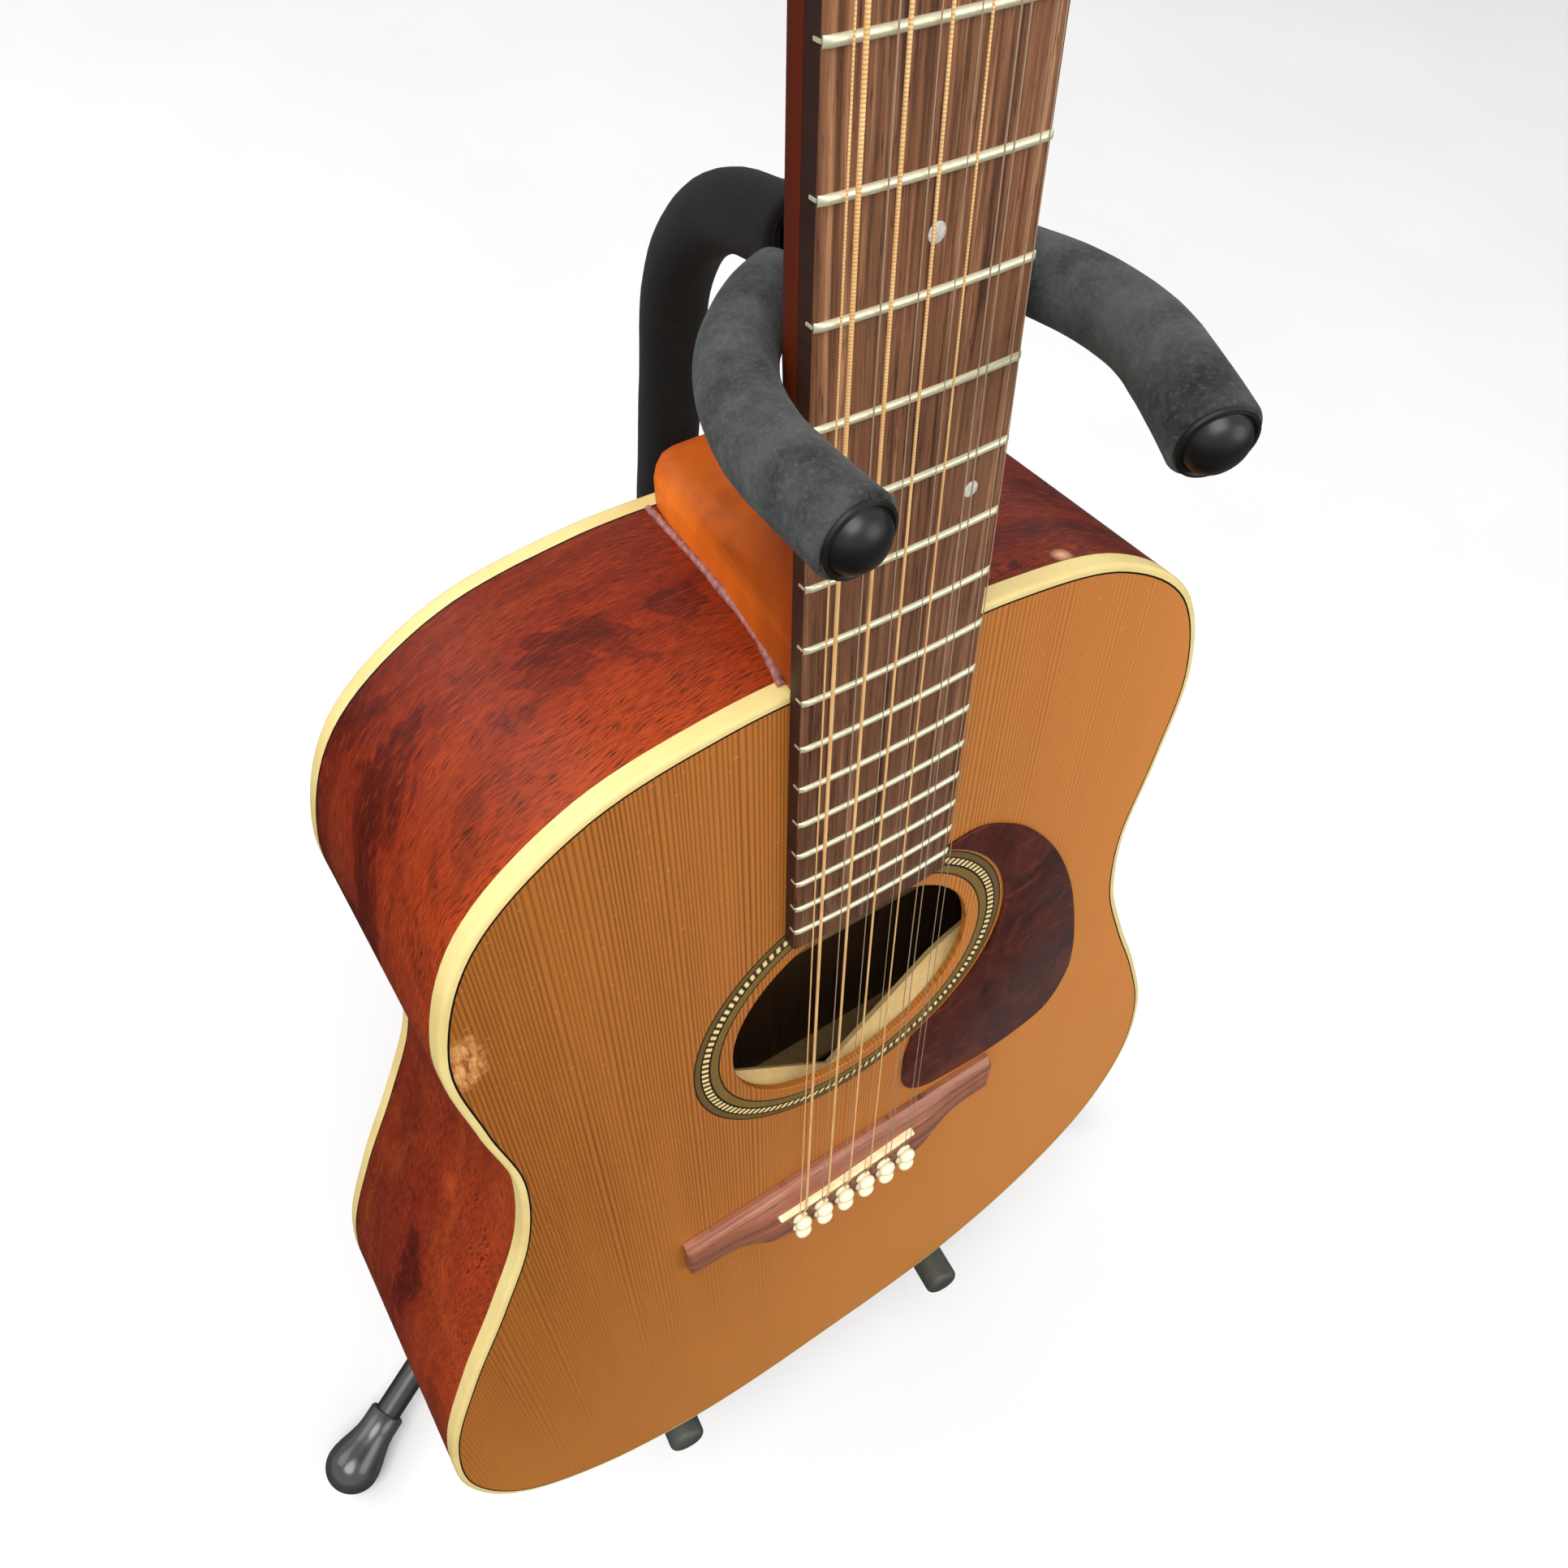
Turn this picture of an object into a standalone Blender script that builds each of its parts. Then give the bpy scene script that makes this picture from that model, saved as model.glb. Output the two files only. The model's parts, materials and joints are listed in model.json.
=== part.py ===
"""Twelve-string guitar resting on a tripod stand.

World frame: millimetres in the constants, metres in the scene, +Z up, floor at Z = 0,
origin under the middle of the whole footprint, the stand opening towards -Y.
Stand constants are measured from the mast axis; CENTRE_Y then moves everything so that
the footprint's middle is the origin.
Guitar frame: local X across the strings, local Y along the neck towards the headstock,
local Z out of the soundboard, origin at the nut on the plane of the soundboard.
"""
import math

import bmesh
import bpy
import numpy as np
from mathutils import Matrix, Vector

MM = 0.001
GAP = 0.3

# ---- guitar: scale, neck and fingerboard ----
SCALE = 647.7
FRETS = 21
NUT_WIDTH = 46.5
WIDTH_GAIN = 0.0262          # fingerboard width gained per mm from the nut
BOARD_END = -464.6
BOARD_THICK = 6.0
FRET_HEIGHT = 1.0
NECK_DEPTH_NUT = 15.5        # wood below the fingerboard at the nut
NECK_DEPTH_HEEL = 20.0       # and at the heel
NUT_THICK = 5.0
NUT_TOP = 8.6

# ---- guitar: body ----
# Half outline from the neck joint to the tail, (half width, position along the neck).
HALF_OUTLINE = (
    (0, -361), (45, -361.4), (88, -370.5), (121, -395), (136.8, -436), (134.5, -481),
    (129.6, -522), (135, -560), (150, -599), (172, -648), (190, -700), (194, -752),
    (177, -807), (138, -848), (84, -874), (0, -881.5),
)
OUTLINE_STEPS = 38           # points from neck joint to tail along one side
DEPTH_NECK = 93.0
DEPTH_TAIL = 127.0
BINDING_WIDE = 2.4
BINDING_TALL = 6.0
TOP_THICK = 3.0
SIDE_THICK = 2.5
BACK_THICK = 2.8
HOLE_V = -521.0
HOLE_R = 50.0
ROSETTE = (55.4, 65.6, 1.2)  # inner radius, outer radius, depth of its channel
HEEL_CAP_REACH = 20.0        # heel length away from the body at the back
HEEL_HALF = 17.3

# ---- guitar: bridge, saddle, pickguard ----
BRIDGE_FRONT = -641.0
BRIDGE_HALF = 78.0
BRIDGE_TALL = 8.6
SADDLE_V = -651.0
SADDLE_HALF = 36.0
PIN_V = -668.0
PIN_PITCH = 11.0
PIN_ROW = 7.5

# ---- guitar: headstock and tuners ----
HEAD_TILT = 13.0
HEAD_LONG = 186.0
HEAD_THICK = 15.0
TUNER_PITCH = 26.0
TUNER_FIRST = 32.0
POST_U = 22.0

# ---- how the guitar sits on the stand ----
LEAN = 12.0                  # neck leans back from the vertical
TWIST = 5.2                  # guitar turned about the vertical against the stand
NUT_PLACE = (-9.8, -56.5, 1005.0)

# ---- stand ----
CENTRE_Y = -37.6
BASE_R = 9.5
BASE_BORE = 7.0
BASE_Z = (30.0, 404.0)
MAST_R = 6.7
MAST_BORE = 5.2
MAST_Z = (330.0, 655.9)      # lower end, start of the bend
BEND_R = 62.3
BEND_RISE = 20.9             # final slope of the mast's forward arm
SLEEVE_R = 10.0
YOKE_AT = (1.9, -79.0, 729.3)
YOKE_PITCH = 10.9
YOKE_ROLL = -6.0
YOKE_SWIVEL = -7.4
YOKE_SIDE = 41.0
YOKE_REACH = 54.4
YOKE_SWEEP = 102.4
YOKE_TIP = 22.0
YOKE_R = 8.7
ROD_R = 6.0
PIVOT_BACK = 15.0            # yoke swivel pin behind the middle of the yoke
CRADLE_HALF = 84.4
CRADLE_TIP = (-252.0, 139.0)
CRADLE_TURN = -0.7           # cradle clamp a little off square on the base tube
CRADLE_SLOPE = 12.0
CRADLE_BACK = -22.0
CRADLE_BEND = 40.0
PAD_R = 9.75
LEG_R = 8.0
LEG_BORE = 6.6
LEG_ANGLES = {"left": -57.7, "right": 57.7, "rear": 180.0}
PIVOT_R = 22.0
PIVOT_Z = 62.0
FOOT_AT = 315.0
FOOT_Z = 15.0
FOOT_R = 16.5
HUB_R = 30.0
HUB_Z = (50.0, 77.0)
COLLAR_Z = (376.0, 416.0)

COLOURS = {
    "cedar": ((0.42, 0.20, 0.07), 0.35, 0.0),
    "cherry": ((0.25, 0.045, 0.02), 0.3, 0.0),
    "maple": ((0.38, 0.12, 0.03), 0.35, 0.0),
    "rosewood": ((0.10, 0.05, 0.03), 0.55, 0.0),
    "bridge_wood": ((0.25, 0.10, 0.06), 0.5, 0.0),
    "ivory": ((0.80, 0.68, 0.42), 0.4, 0.0),
    "bone": ((0.78, 0.72, 0.55), 0.35, 0.0),
    "tortoise": ((0.10, 0.015, 0.012), 0.25, 0.0),
    "inlay": ((0.25, 0.22, 0.12), 0.4, 0.0),
    "chrome": ((0.70, 0.70, 0.68), 0.2, 1.0),
    "black_steel": ((0.02, 0.02, 0.02), 0.35, 1.0),
    "foam": ((0.035, 0.037, 0.04), 0.9, 0.0),
    "black_plastic": ((0.012, 0.012, 0.012), 0.25, 0.0),
    "rubber": ((0.03, 0.032, 0.03), 0.6, 0.0),
}


def clear_scene():
    for obj in list(bpy.data.objects):
        bpy.data.objects.remove(obj)


def material(name):
    mat = bpy.data.materials.get(name)
    if mat is None:
        colour, rough, metal = COLOURS[name]
        mat = bpy.data.materials.new(name)
        mat.use_nodes = True
        shader = mat.node_tree.nodes["Principled BSDF"]
        shader.inputs["Base Color"].default_value = (*colour, 1.0)
        shader.inputs["Roughness"].default_value = rough
        shader.inputs["Metallic"].default_value = metal
    return mat


def make(name, verts, faces, mat, parent=None, smooth=None):
    """One object from points in millimetres, faces turned outwards."""
    mesh = bpy.data.meshes.new(name)
    mesh.from_pydata([Vector(v) * MM for v in verts], [], faces)
    work = bmesh.new()
    work.from_mesh(mesh)
    bmesh.ops.recalc_face_normals(work, faces=work.faces)
    work.to_mesh(mesh)
    work.free()
    mesh.materials.append(material(mat))
    if smooth is not None:
        mesh.shade_smooth()
        mesh.set_sharp_from_angle(angle=math.radians(smooth))
    obj = bpy.data.objects.new(name, mesh)
    bpy.context.scene.collection.objects.link(obj)
    obj.parent = parent
    return obj


def frame(name, place, matrix=None, parent=None):
    empty = bpy.data.objects.new(name, None)
    bpy.context.scene.collection.objects.link(empty)
    turn = matrix if matrix is not None else Matrix.Identity(3)
    empty.parent = parent
    empty.matrix_local = Matrix.Translation(Vector(place) * MM) @ turn.to_4x4()
    return empty


def helper(obj):
    obj.hide_render = True
    obj.display_type = "WIRE"
    return obj


def combine(target, other, kind):
    """Boolean of two objects; the second one becomes a hidden guide."""
    step = target.modifiers.new(other.name, "BOOLEAN")
    step.operation = kind
    step.solver = "EXACT"
    step.object = helper(other)
    return target


def rotation(axis, degrees):
    return Matrix.Rotation(math.radians(degrees), 3, axis)


# ---- profiles and solids ----

def spline_through(points, count):
    """Points at equal arc steps along a smooth curve whose two ends run square to X = 0."""
    pts = [Vector((x, y)) for x, y in points]
    mirrored = [Vector((-pts[1].x, pts[1].y))] + pts + [Vector((-pts[-2].x, pts[-2].y))]
    dense = []
    for i in range(1, len(mirrored) - 2):
        p0, p1, p2, p3 = mirrored[i - 1:i + 3]
        h0, h1, h2 = (p1 - p0).length, (p2 - p1).length, (p3 - p2).length
        m1 = ((p1 - p0) / h0 * h1 + (p2 - p1) / h1 * h0) / (h0 + h1) * h1
        m2 = ((p2 - p1) / h1 * h2 + (p3 - p2) / h2 * h1) / (h1 + h2) * h1
        for k in range(12):
            t = k / 12
            dense.append(
                p1 * (2 * t**3 - 3 * t**2 + 1) + m1 * (t**3 - 2 * t**2 + t)
                + p2 * (3 * t**2 - 2 * t**3) + m2 * (t**3 - t**2)
            )
    dense.append(mirrored[-2])
    xy = np.array([tuple(p) for p in dense])
    run = np.concatenate([[0.0], np.cumsum(np.hypot(*np.diff(xy, axis=0).T))])
    at = np.linspace(0.0, run[-1], count + 1)
    return np.column_stack([np.interp(at, run, xy[:, 0]), np.interp(at, run, xy[:, 1])])


def inset(loop, distance):
    """A closed loop moved inwards by a distance; the loop runs anticlockwise."""
    before = np.roll(loop, 1, axis=0)
    after = np.roll(loop, -1, axis=0)
    tangent = (after - before) / np.linalg.norm(after - before, axis=1)[:, None]
    return loop + np.column_stack([-tangent[:, 1], tangent[:, 0]]) * distance


def circle(radius, count, centre=(0.0, 0.0), start=0.0):
    at = start + np.arange(count) * 2 * math.pi / count
    return np.column_stack([centre[0] + radius * np.cos(at), centre[1] + radius * np.sin(at)])


def prism(name, loop, low, high, mat, parent=None, smooth=None):
    """A flat loop in local XY given thickness; low and high are heights or functions of Y."""
    low_of = low if callable(low) else (lambda y: low)
    high_of = high if callable(high) else (lambda y: high)
    n = len(loop)
    verts = [(x, y, low_of(y)) for x, y in loop] + [(x, y, high_of(y)) for x, y in loop]
    faces = [tuple(range(n)), tuple(range(n, 2 * n))]
    faces += [(i, (i + 1) % n, n + (i + 1) % n, n + i) for i in range(n)]
    return make(name, verts, faces, mat, parent, smooth)


def ring(name, outer, inner, low, high, mat, parent=None, smooth=None):
    """A band between two loops of equal count."""
    low_of = low if callable(low) else (lambda y: low)
    high_of = high if callable(high) else (lambda y: high)
    n = len(outer)
    verts = []
    for loop, height in ((outer, low_of), (outer, high_of), (inner, high_of), (inner, low_of)):
        verts += [(x, y, height(y)) for x, y in loop]
    faces = []
    for k in range(4):
        a, b = k * n, (k + 1) % 4 * n
        faces += [(a + i, a + (i + 1) % n, b + (i + 1) % n, b + i) for i in range(n)]
    return make(name, verts, faces, mat, parent, smooth)


def loft(name, sections, mat, parent=None, smooth=None, closed=False):
    """Skin over loops of equal count, with end caps unless the last one meets the first."""
    n = len(sections[0])
    verts = [tuple(p) for section in sections for p in section]
    faces = []
    count = len(sections)
    for s in range(count if closed else count - 1):
        a, b = s * n, (s + 1) % count * n
        faces += [(a + i, a + (i + 1) % n, b + (i + 1) % n, b + i) for i in range(n)]
    if not closed:
        faces += [tuple(range(n)), tuple(range((count - 1) * n, count * n))]
    return make(name, verts, faces, mat, parent, smooth)


def lathe(name, profile, segs, mat, parent=None, smooth=35.0, place=None):
    """Turned piece about local Z from (radius, height) points; zero radius closes it."""
    verts, rows = [], []
    for radius, height in profile:
        if radius == 0.0:
            rows.append([len(verts)] * segs)
            verts.append((0.0, 0.0, height))
        else:
            rows.append(list(range(len(verts), len(verts) + segs)))
            verts += [(x, y, height) for x, y in circle(radius, segs)]
    closed = profile[0][0] != 0.0
    pairs = list(zip(rows, rows[1:])) + ([(rows[-1], rows[0])] if closed else [])
    faces = []
    for low, high in pairs:
        for i in range(segs):
            j = (i + 1) % segs
            corner = list(dict.fromkeys((low[i], low[j], high[j], high[i])))
            if len(corner) > 2:
                faces.append(tuple(corner))
    obj = make(name, verts, faces, mat, parent, smooth)
    if place is not None:
        obj.matrix_local = place
    return obj


def sweep_rings(path, radius, segs):
    """Round sections square to a path, carried along without twist."""
    pts = [Vector(p) for p in path]
    tangents = []
    for i in range(len(pts)):
        ahead = pts[min(i + 1, len(pts) - 1)] - pts[max(i - 1, 0)]
        tangents.append(ahead.normalized())
    side = tangents[0].orthogonal().normalized()
    rings = []
    for p, t in zip(pts, tangents):
        side = (side - t * side.dot(t)).normalized()
        up = t.cross(side)
        rings.append([p + side * x + up * y for x, y in circle(radius, segs)])
    return rings


def tube(name, path, radius, segs, mat, parent=None, bore=None):
    """A round bar along a path, or a tube when it has a bore."""
    outer = sweep_rings(path, radius, segs)
    if bore is None:
        return loft(name, outer, mat, parent, smooth=40.0)
    inner = sweep_rings(path, bore, segs)
    return loft(name, outer + inner[::-1], mat, parent, smooth=40.0, closed=True)


# ---- guitar ----

def fret_at(number):
    return -SCALE * (1 - 2 ** (-number / 12))


def board_half(v):
    return (NUT_WIDTH - WIDTH_GAIN * v) / 2


def back_height(v):
    share = (HALF_OUTLINE[0][1] - v) / (HALF_OUTLINE[0][1] - HALF_OUTLINE[-1][1])
    return -(DEPTH_NECK + (DEPTH_TAIL - DEPTH_NECK) * share)


def body_outline():
    """Whole outline, anticlockwise from the neck joint down the left side."""
    half = spline_through(HALF_OUTLINE, OUTLINE_STEPS)
    left = np.column_stack([-half[:, 0], half[:, 1]])
    return np.vstack([left, half[-2:0:-1]])


def build_body(guitar):
    outline = body_outline()
    inner = inset(outline, BINDING_WIDE + GAP)
    soundboard = prism("soundboard", inner, -TOP_THICK, 0.0, "cedar", guitar)
    hole = prism("soundhole_cut", circle(HOLE_R, 40, (0, HOLE_V)), -9, 9, "cedar", guitar)
    channel = ring(
        "rosette_channel", circle(ROSETTE[1], 40, (0, HOLE_V)), circle(ROSETTE[0], 40, (0, HOLE_V)),
        -ROSETTE[2], 5.0, "cedar", guitar,
    )
    combine(soundboard, hole, "DIFFERENCE")
    combine(soundboard, channel, "DIFFERENCE")
    ring(
        "rosette", circle(ROSETTE[1] - GAP, 40, (0, HOLE_V)), circle(ROSETTE[0] + GAP, 40, (0, HOLE_V)),
        GAP - ROSETTE[2], 0.0, "inlay", guitar, 40.0,
    )
    ring(
        "top_binding", outline, inset(outline, BINDING_WIDE), -BINDING_TALL, 0.0,
        "ivory", guitar, 40.0,
    )
    ring(
        "sides", outline, inset(outline, SIDE_THICK),
        lambda v: back_height(v) + BINDING_TALL + GAP, -BINDING_TALL - GAP, "cherry", guitar, 40.0,
    )
    ring(
        "back_binding", outline, inset(outline, BINDING_WIDE), back_height,
        lambda v: back_height(v) + BINDING_TALL, "ivory", guitar, 40.0,
    )
    prism("back_plate", inner, back_height, lambda v: back_height(v) + BACK_THICK, "cherry", guitar)


def build_fingerboard(guitar):
    """Side profile with a crown for every fret, spread to the tapering width."""
    profile = [(BOARD_END, GAP), (BOARD_END, BOARD_THICK)]
    for number in range(FRETS, 0, -1):
        v = fret_at(number)
        for step, height in ((-1.1, 0.0), (-0.6, FRET_HEIGHT), (0.6, FRET_HEIGHT), (1.1, 0.0)):
            profile.append((v + step, BOARD_THICK + height))
    profile += [(-GAP, BOARD_THICK), (-GAP, GAP)]
    sides = [[(side * board_half(v), v, w) for v, w in profile] for side in (-1, 1)]
    loft("fingerboard", sides, "rosewood", guitar)


def neck_depth(v):
    share = min(max(-v / 300.0, 0.0), 1.0)
    return NECK_DEPTH_NUT + (NECK_DEPTH_HEEL - NECK_DEPTH_NUT) * share


def neck_section(v):
    points = []
    for k in range(13):
        angle = math.pi * k / 12
        half = board_half(min(v, 0.0))
        across = math.copysign(abs(math.cos(angle)) ** 0.95, math.cos(angle))
        points.append((half * across, v, -neck_depth(v) * math.sin(angle) ** 0.95))
    return points


def heel_section(w):
    """Heel cut parallel to the soundboard: flat against the body, rounded towards the nut."""
    half = HEEL_HALF + 9.0 * math.exp((w + 5.0) / 24.0)
    reach = HALF_OUTLINE[0][1] + HEEL_CAP_REACH + 45.0 * math.exp(min(w + 18.0, 0.0) / 14.0)
    back = HALF_OUTLINE[0][1] + 0.5
    radius = 8.0
    points = [(half, back, w)]
    for k in range(5):
        angle = math.pi / 2 * k / 4
        across = half - radius + radius * math.cos(angle)
        points.append((across, reach - radius + radius * math.sin(angle), w))
    for k in range(5):
        angle = math.pi / 2 * (1 + k / 4)
        across = radius - half + radius * math.cos(angle)
        points.append((across, reach - radius + radius * math.sin(angle), w))
    points.append((-half, back, w))
    return points


def build_neck(guitar, head):
    stations = (7.0, 0.0, -60.0, -130.0, -200.0, -265.0, -320.0, HALF_OUTLINE[0][1] + 0.5)
    neck = loft("neck", [neck_section(v) for v in stations], "maple", guitar, 40.0)
    heights = (-2.0, -10.0, -18.0, -25.0, -33.0, -45.0, -62.0, -80.0, -DEPTH_NECK + 0.8)
    heel = loft("heel", [heel_section(w) for w in heights], "maple", guitar, 40.0)
    flare, top = 33.0, 36.5
    nut_half = board_half(0.0)
    right = [(nut_half - 0.2, -4.0), (nut_half + 0.5, 4.0), (flare, 20.0), (top, HEAD_LONG - 12.0)]
    for k in range(5):
        angle = math.pi / 2 * k / 4
        right.append((top - 12.0 + 12.0 * math.cos(angle), HEAD_LONG - 12.0 + 12.0 * math.sin(angle)))
    loop = right + [(-x, y) for x, y in reversed(right)]
    slab = prism("headstock_slab", list(dict.fromkeys(loop)), -HEAD_THICK, 0.0, "maple", head)
    combine(neck, heel, "UNION")
    combine(neck, slab, "UNION")
    for side in (-1, 1):
        for k in range(6):
            centre = (side * POST_U, TUNER_FIRST + TUNER_PITCH * k)
            drill = prism(f"post_hole_{k}_{side + 1}", circle(3.7, 10, centre), -30.0, 9.0, "maple", head)
            combine(neck, drill, "DIFFERENCE")


def build_nut_and_bridge(guitar):
    half = board_half(0.0)
    nut = [(-half, 0.2), (half, 0.2), (half, NUT_THICK), (-half, NUT_THICK)]
    prism("nut", nut, 0.3, NUT_TOP, "bone", guitar)

    ends, middle = 24.0, 39.0
    front, rear = [], []
    for k in range(17):
        u = BRIDGE_HALF * (k / 8 - 1)
        bulge = 1 / (1 + math.exp((abs(u) - 46.0) / 5.0))
        front.append((u, BRIDGE_FRONT))
        rear.append((u, BRIDGE_FRONT - ends - (middle - ends) * bulge))
    sections = []
    for (u, v_front), (_, v_rear) in zip(front, rear):
        tall = BRIDGE_TALL - 2.4 * max(abs(u) - 40.0, 0.0) / (BRIDGE_HALF - 40.0)
        sections.append([
            (u, v_front, GAP), (u, v_front, 3.0), (u, v_front - 7.0, tall), (u, v_rear + 4.0, tall),
            (u, v_rear, 4.0), (u, v_rear, GAP),
        ])
    bridge = loft("bridge", sections, "bridge_wood", guitar)
    slot = prism(
        "saddle_slot",
        [(-SADDLE_HALF - GAP, SADDLE_V - 2), (SADDLE_HALF + GAP, SADDLE_V - 2),
         (SADDLE_HALF + GAP, SADDLE_V + 2), (-SADDLE_HALF - GAP, SADDLE_V + 2)],
        4.0, 20.0, "bridge_wood", guitar,
    )
    combine(bridge, slot, "DIFFERENCE")
    saddle = [
        (-SADDLE_HALF, SADDLE_V - 1.7), (SADDLE_HALF, SADDLE_V - 1.7),
        (SADDLE_HALF, SADDLE_V + 1.7), (-SADDLE_HALF, SADDLE_V + 1.7),
    ]
    prism("saddle", saddle, 4.3, BRIDGE_TALL + 4.4, "bone", guitar)
    for row in (0, 1):
        for k in range(6):
            u = PIN_PITCH * (k - 2.5)
            v = PIN_V + PIN_ROW * (0.5 - row)
            place = Matrix.Translation(Vector((u, v, BRIDGE_TALL)) * MM)
            profile = ((0.0, -1.5), (2.6, -1.5), (3.1, 1.2), (2.6, 3.2), (0.0, 4.2))
            pin = lathe(f"bridge_pin_{row}_{k}", profile, 8, "bone", guitar, 60.0, place)
            combine(bridge, pin, "UNION")


def build_trim(guitar):
    """Pickguard: an arc along the rosette, a long round outer edge and a blunt tip."""
    reach = ROSETTE[1] + 1.2
    loop = []
    for k in range(9):
        angle = math.radians(62.0 - 125.0 * k / 8)
        loop.append((reach * math.cos(angle), HOLE_V + reach * math.sin(angle)))
    loop += [(27.5, -603), (31, -622), (41, -632), (56, -635.5), (78, -637), (98, -634), (111, -627)]
    loop += [(118, -608), (117.5, -588), (112, -561), (103, -531), (89.5, -502), (73.5, -479.5)]
    loop += [(60, -467.5), (47, -461)]
    prism("pickguard", loop[::-1], GAP, 1.2, "tortoise", guitar)
    tail_v = HALF_OUTLINE[-1][1]
    middle = back_height(tail_v) / 2
    place = Matrix.Translation(Vector((0, tail_v - GAP, middle)) * MM) @ rotation("X", 90).to_4x4()
    profile = (
        (0.0, 0.0), (7.0, 0.0), (7.0, 2.0), (3.8, 5.0),
        (3.8, 9.0), (6.5, 12.5), (5.5, 15.0), (0.0, 16.0),
    )
    lathe("end_pin", profile, 14, "black_plastic", guitar, 40.0, place)


def build_tuners(head):
    count = 6
    button = ((0.0, 2.2, 2.2), (13.0, 2.2, 2.2), (14.5, 5.0, 3.0), (17.5, 7.6, 3.8),
              (23.0, 8.2, 3.8), (27.0, 6.0, 2.8))
    for name, side in (("bass", -1), ("treble", 1)):
        profile = [(TUNER_FIRST - 9.0, -HEAD_THICK - GAP), (TUNER_FIRST - 9.0, -HEAD_THICK - 1.5)]
        for k in range(count):
            s = TUNER_FIRST + TUNER_PITCH * k
            for step, depth in ((-6.5, 1.5), (-5.5, 9.5), (5.5, 9.5), (6.5, 1.5)):
                profile.append((s + step, -HEAD_THICK - depth))
        last = TUNER_FIRST + TUNER_PITCH * (count - 1) + 9.0
        profile += [(last, -HEAD_THICK - 1.5), (last, -HEAD_THICK - GAP)]
        walls = [[(side * u, s, t) for s, t in profile] for u in (15.0, 31.0)]
        loft(f"tuner_plate_{name}", walls, "chrome", head)
        for k in range(count):
            s = TUNER_FIRST + TUNER_PITCH * k
            axis = Matrix.Translation(Vector((side * POST_U, s, 0)) * MM)
            post = ((0.0, -HEAD_THICK + GAP), (3.2, -HEAD_THICK + GAP), (3.2, GAP), (5.4, GAP), (5.4, 2.0),
                    (3.2, 2.4), (2.5, 7.0), (3.2, 12.0), (0.0, 12.8))
            lathe(f"tuner_post_{name}_{k + 1}", post, 8, "chrome", head, 40.0, axis)
            place = Vector((side * (31.0 + GAP), s, -HEAD_THICK - 5.5)) * MM
            key = loft(
                f"tuner_key_{name}_{k + 1}",
                [[(side * x, wide * math.cos(a), flat * math.sin(a)) for a in np.arange(8) * math.pi / 4]
                 for x, wide, flat in button],
                "chrome", head, 40.0,
            )
            key.location = place


# ---- stand ----

def mast_path():
    """Straight mast, then the bend towards the yoke; returns points and arm direction."""
    turn = rotation("Z", math.degrees(math.atan2(YOKE_AT[0], -YOKE_AT[1])))
    points = [Vector((0, 0, MAST_Z[0])), Vector((0, 0, MAST_Z[1] - 60)), Vector((0, 0, MAST_Z[1]))]
    sweep = math.radians(90 - BEND_RISE)
    for k in range(1, 8):
        a = sweep * k / 7
        points.append(turn @ Vector((0, -BEND_R * (1 - math.cos(a)), MAST_Z[1] + BEND_R * math.sin(a))))
    rise = math.radians(BEND_RISE)
    return points, turn @ Vector((0, -math.cos(rise), math.sin(rise)))


def build_mast(pin_at):
    """Upper tube with an eye plate and pin at its end for the yoke, and its foam sleeve."""
    points, arm = mast_path()
    end = Vector(YOKE_AT)
    mast = tube("mast_tube", points + [end - arm * 26.5], MAST_R, 12, "black_steel", bore=MAST_BORE)
    plate_frame = frame("mast_eye_frame", pin_at, yoke_turn(YOKE_SWIVEL) @ rotation("Z", -YOKE_SWIVEL))
    eye = prism("mast_eye", circle(9.0, 16), -11.0, -7.3, "black_steel", plate_frame)
    tab = [(-4, 0), (4, 0), (4, 12), (-4, 12)]
    neck = prism("mast_eye_neck", tab, -11.0, -7.3, "black_steel", plate_frame)
    web = prism("mast_eye_web", [(-4, 9.2), (4, 9.2), (4, 16.5), (-4, 16.5)], -11.0, -4.0,
                "black_steel", plate_frame)
    pin = lathe(
        "mast_eye_pin", ((0.0, -8.5), (2.8, -8.5), (2.8, 4.3), (5.0, 4.3), (5.0, 6.5), (0.0, 7.5)), 12,
        "black_steel", plate_frame,
    )
    for piece in (eye, neck, web, pin):
        combine(mast, piece, "UNION")
    sleeve_path = [Vector((0, 0, 470)), Vector((0, 0, 560))] + points[1:] + [end - arm * 33.0]
    tube("mast_sleeve", sleeve_path, SLEEVE_R, 14, "foam", bore=MAST_R + GAP)


def yoke_turn(swivel):
    """Yoke axes: local X across, local -Y towards the open end, local Z square to its plane."""
    return rotation("Z", swivel) @ rotation("X", -YOKE_PITCH) @ rotation("Y", YOKE_ROLL)


def yoke_path(side, start):
    """Half of the yoke's U from its middle to one arm, measured from the swivel pin."""
    points = []
    for k in range(13):
        a = math.radians(start + (YOKE_SWEEP - start) * k / 12)
        reach = YOKE_REACH * (1 - math.cos(a)) + PIVOT_BACK
        points.append(Vector((side * YOKE_SIDE * math.sin(a), -reach, 0.0)))
    a = math.radians(YOKE_SWEEP)
    heading = Vector((side * YOKE_SIDE * math.cos(a), -YOKE_REACH * math.sin(a), 0.0)).normalized()
    return points, heading


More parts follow.
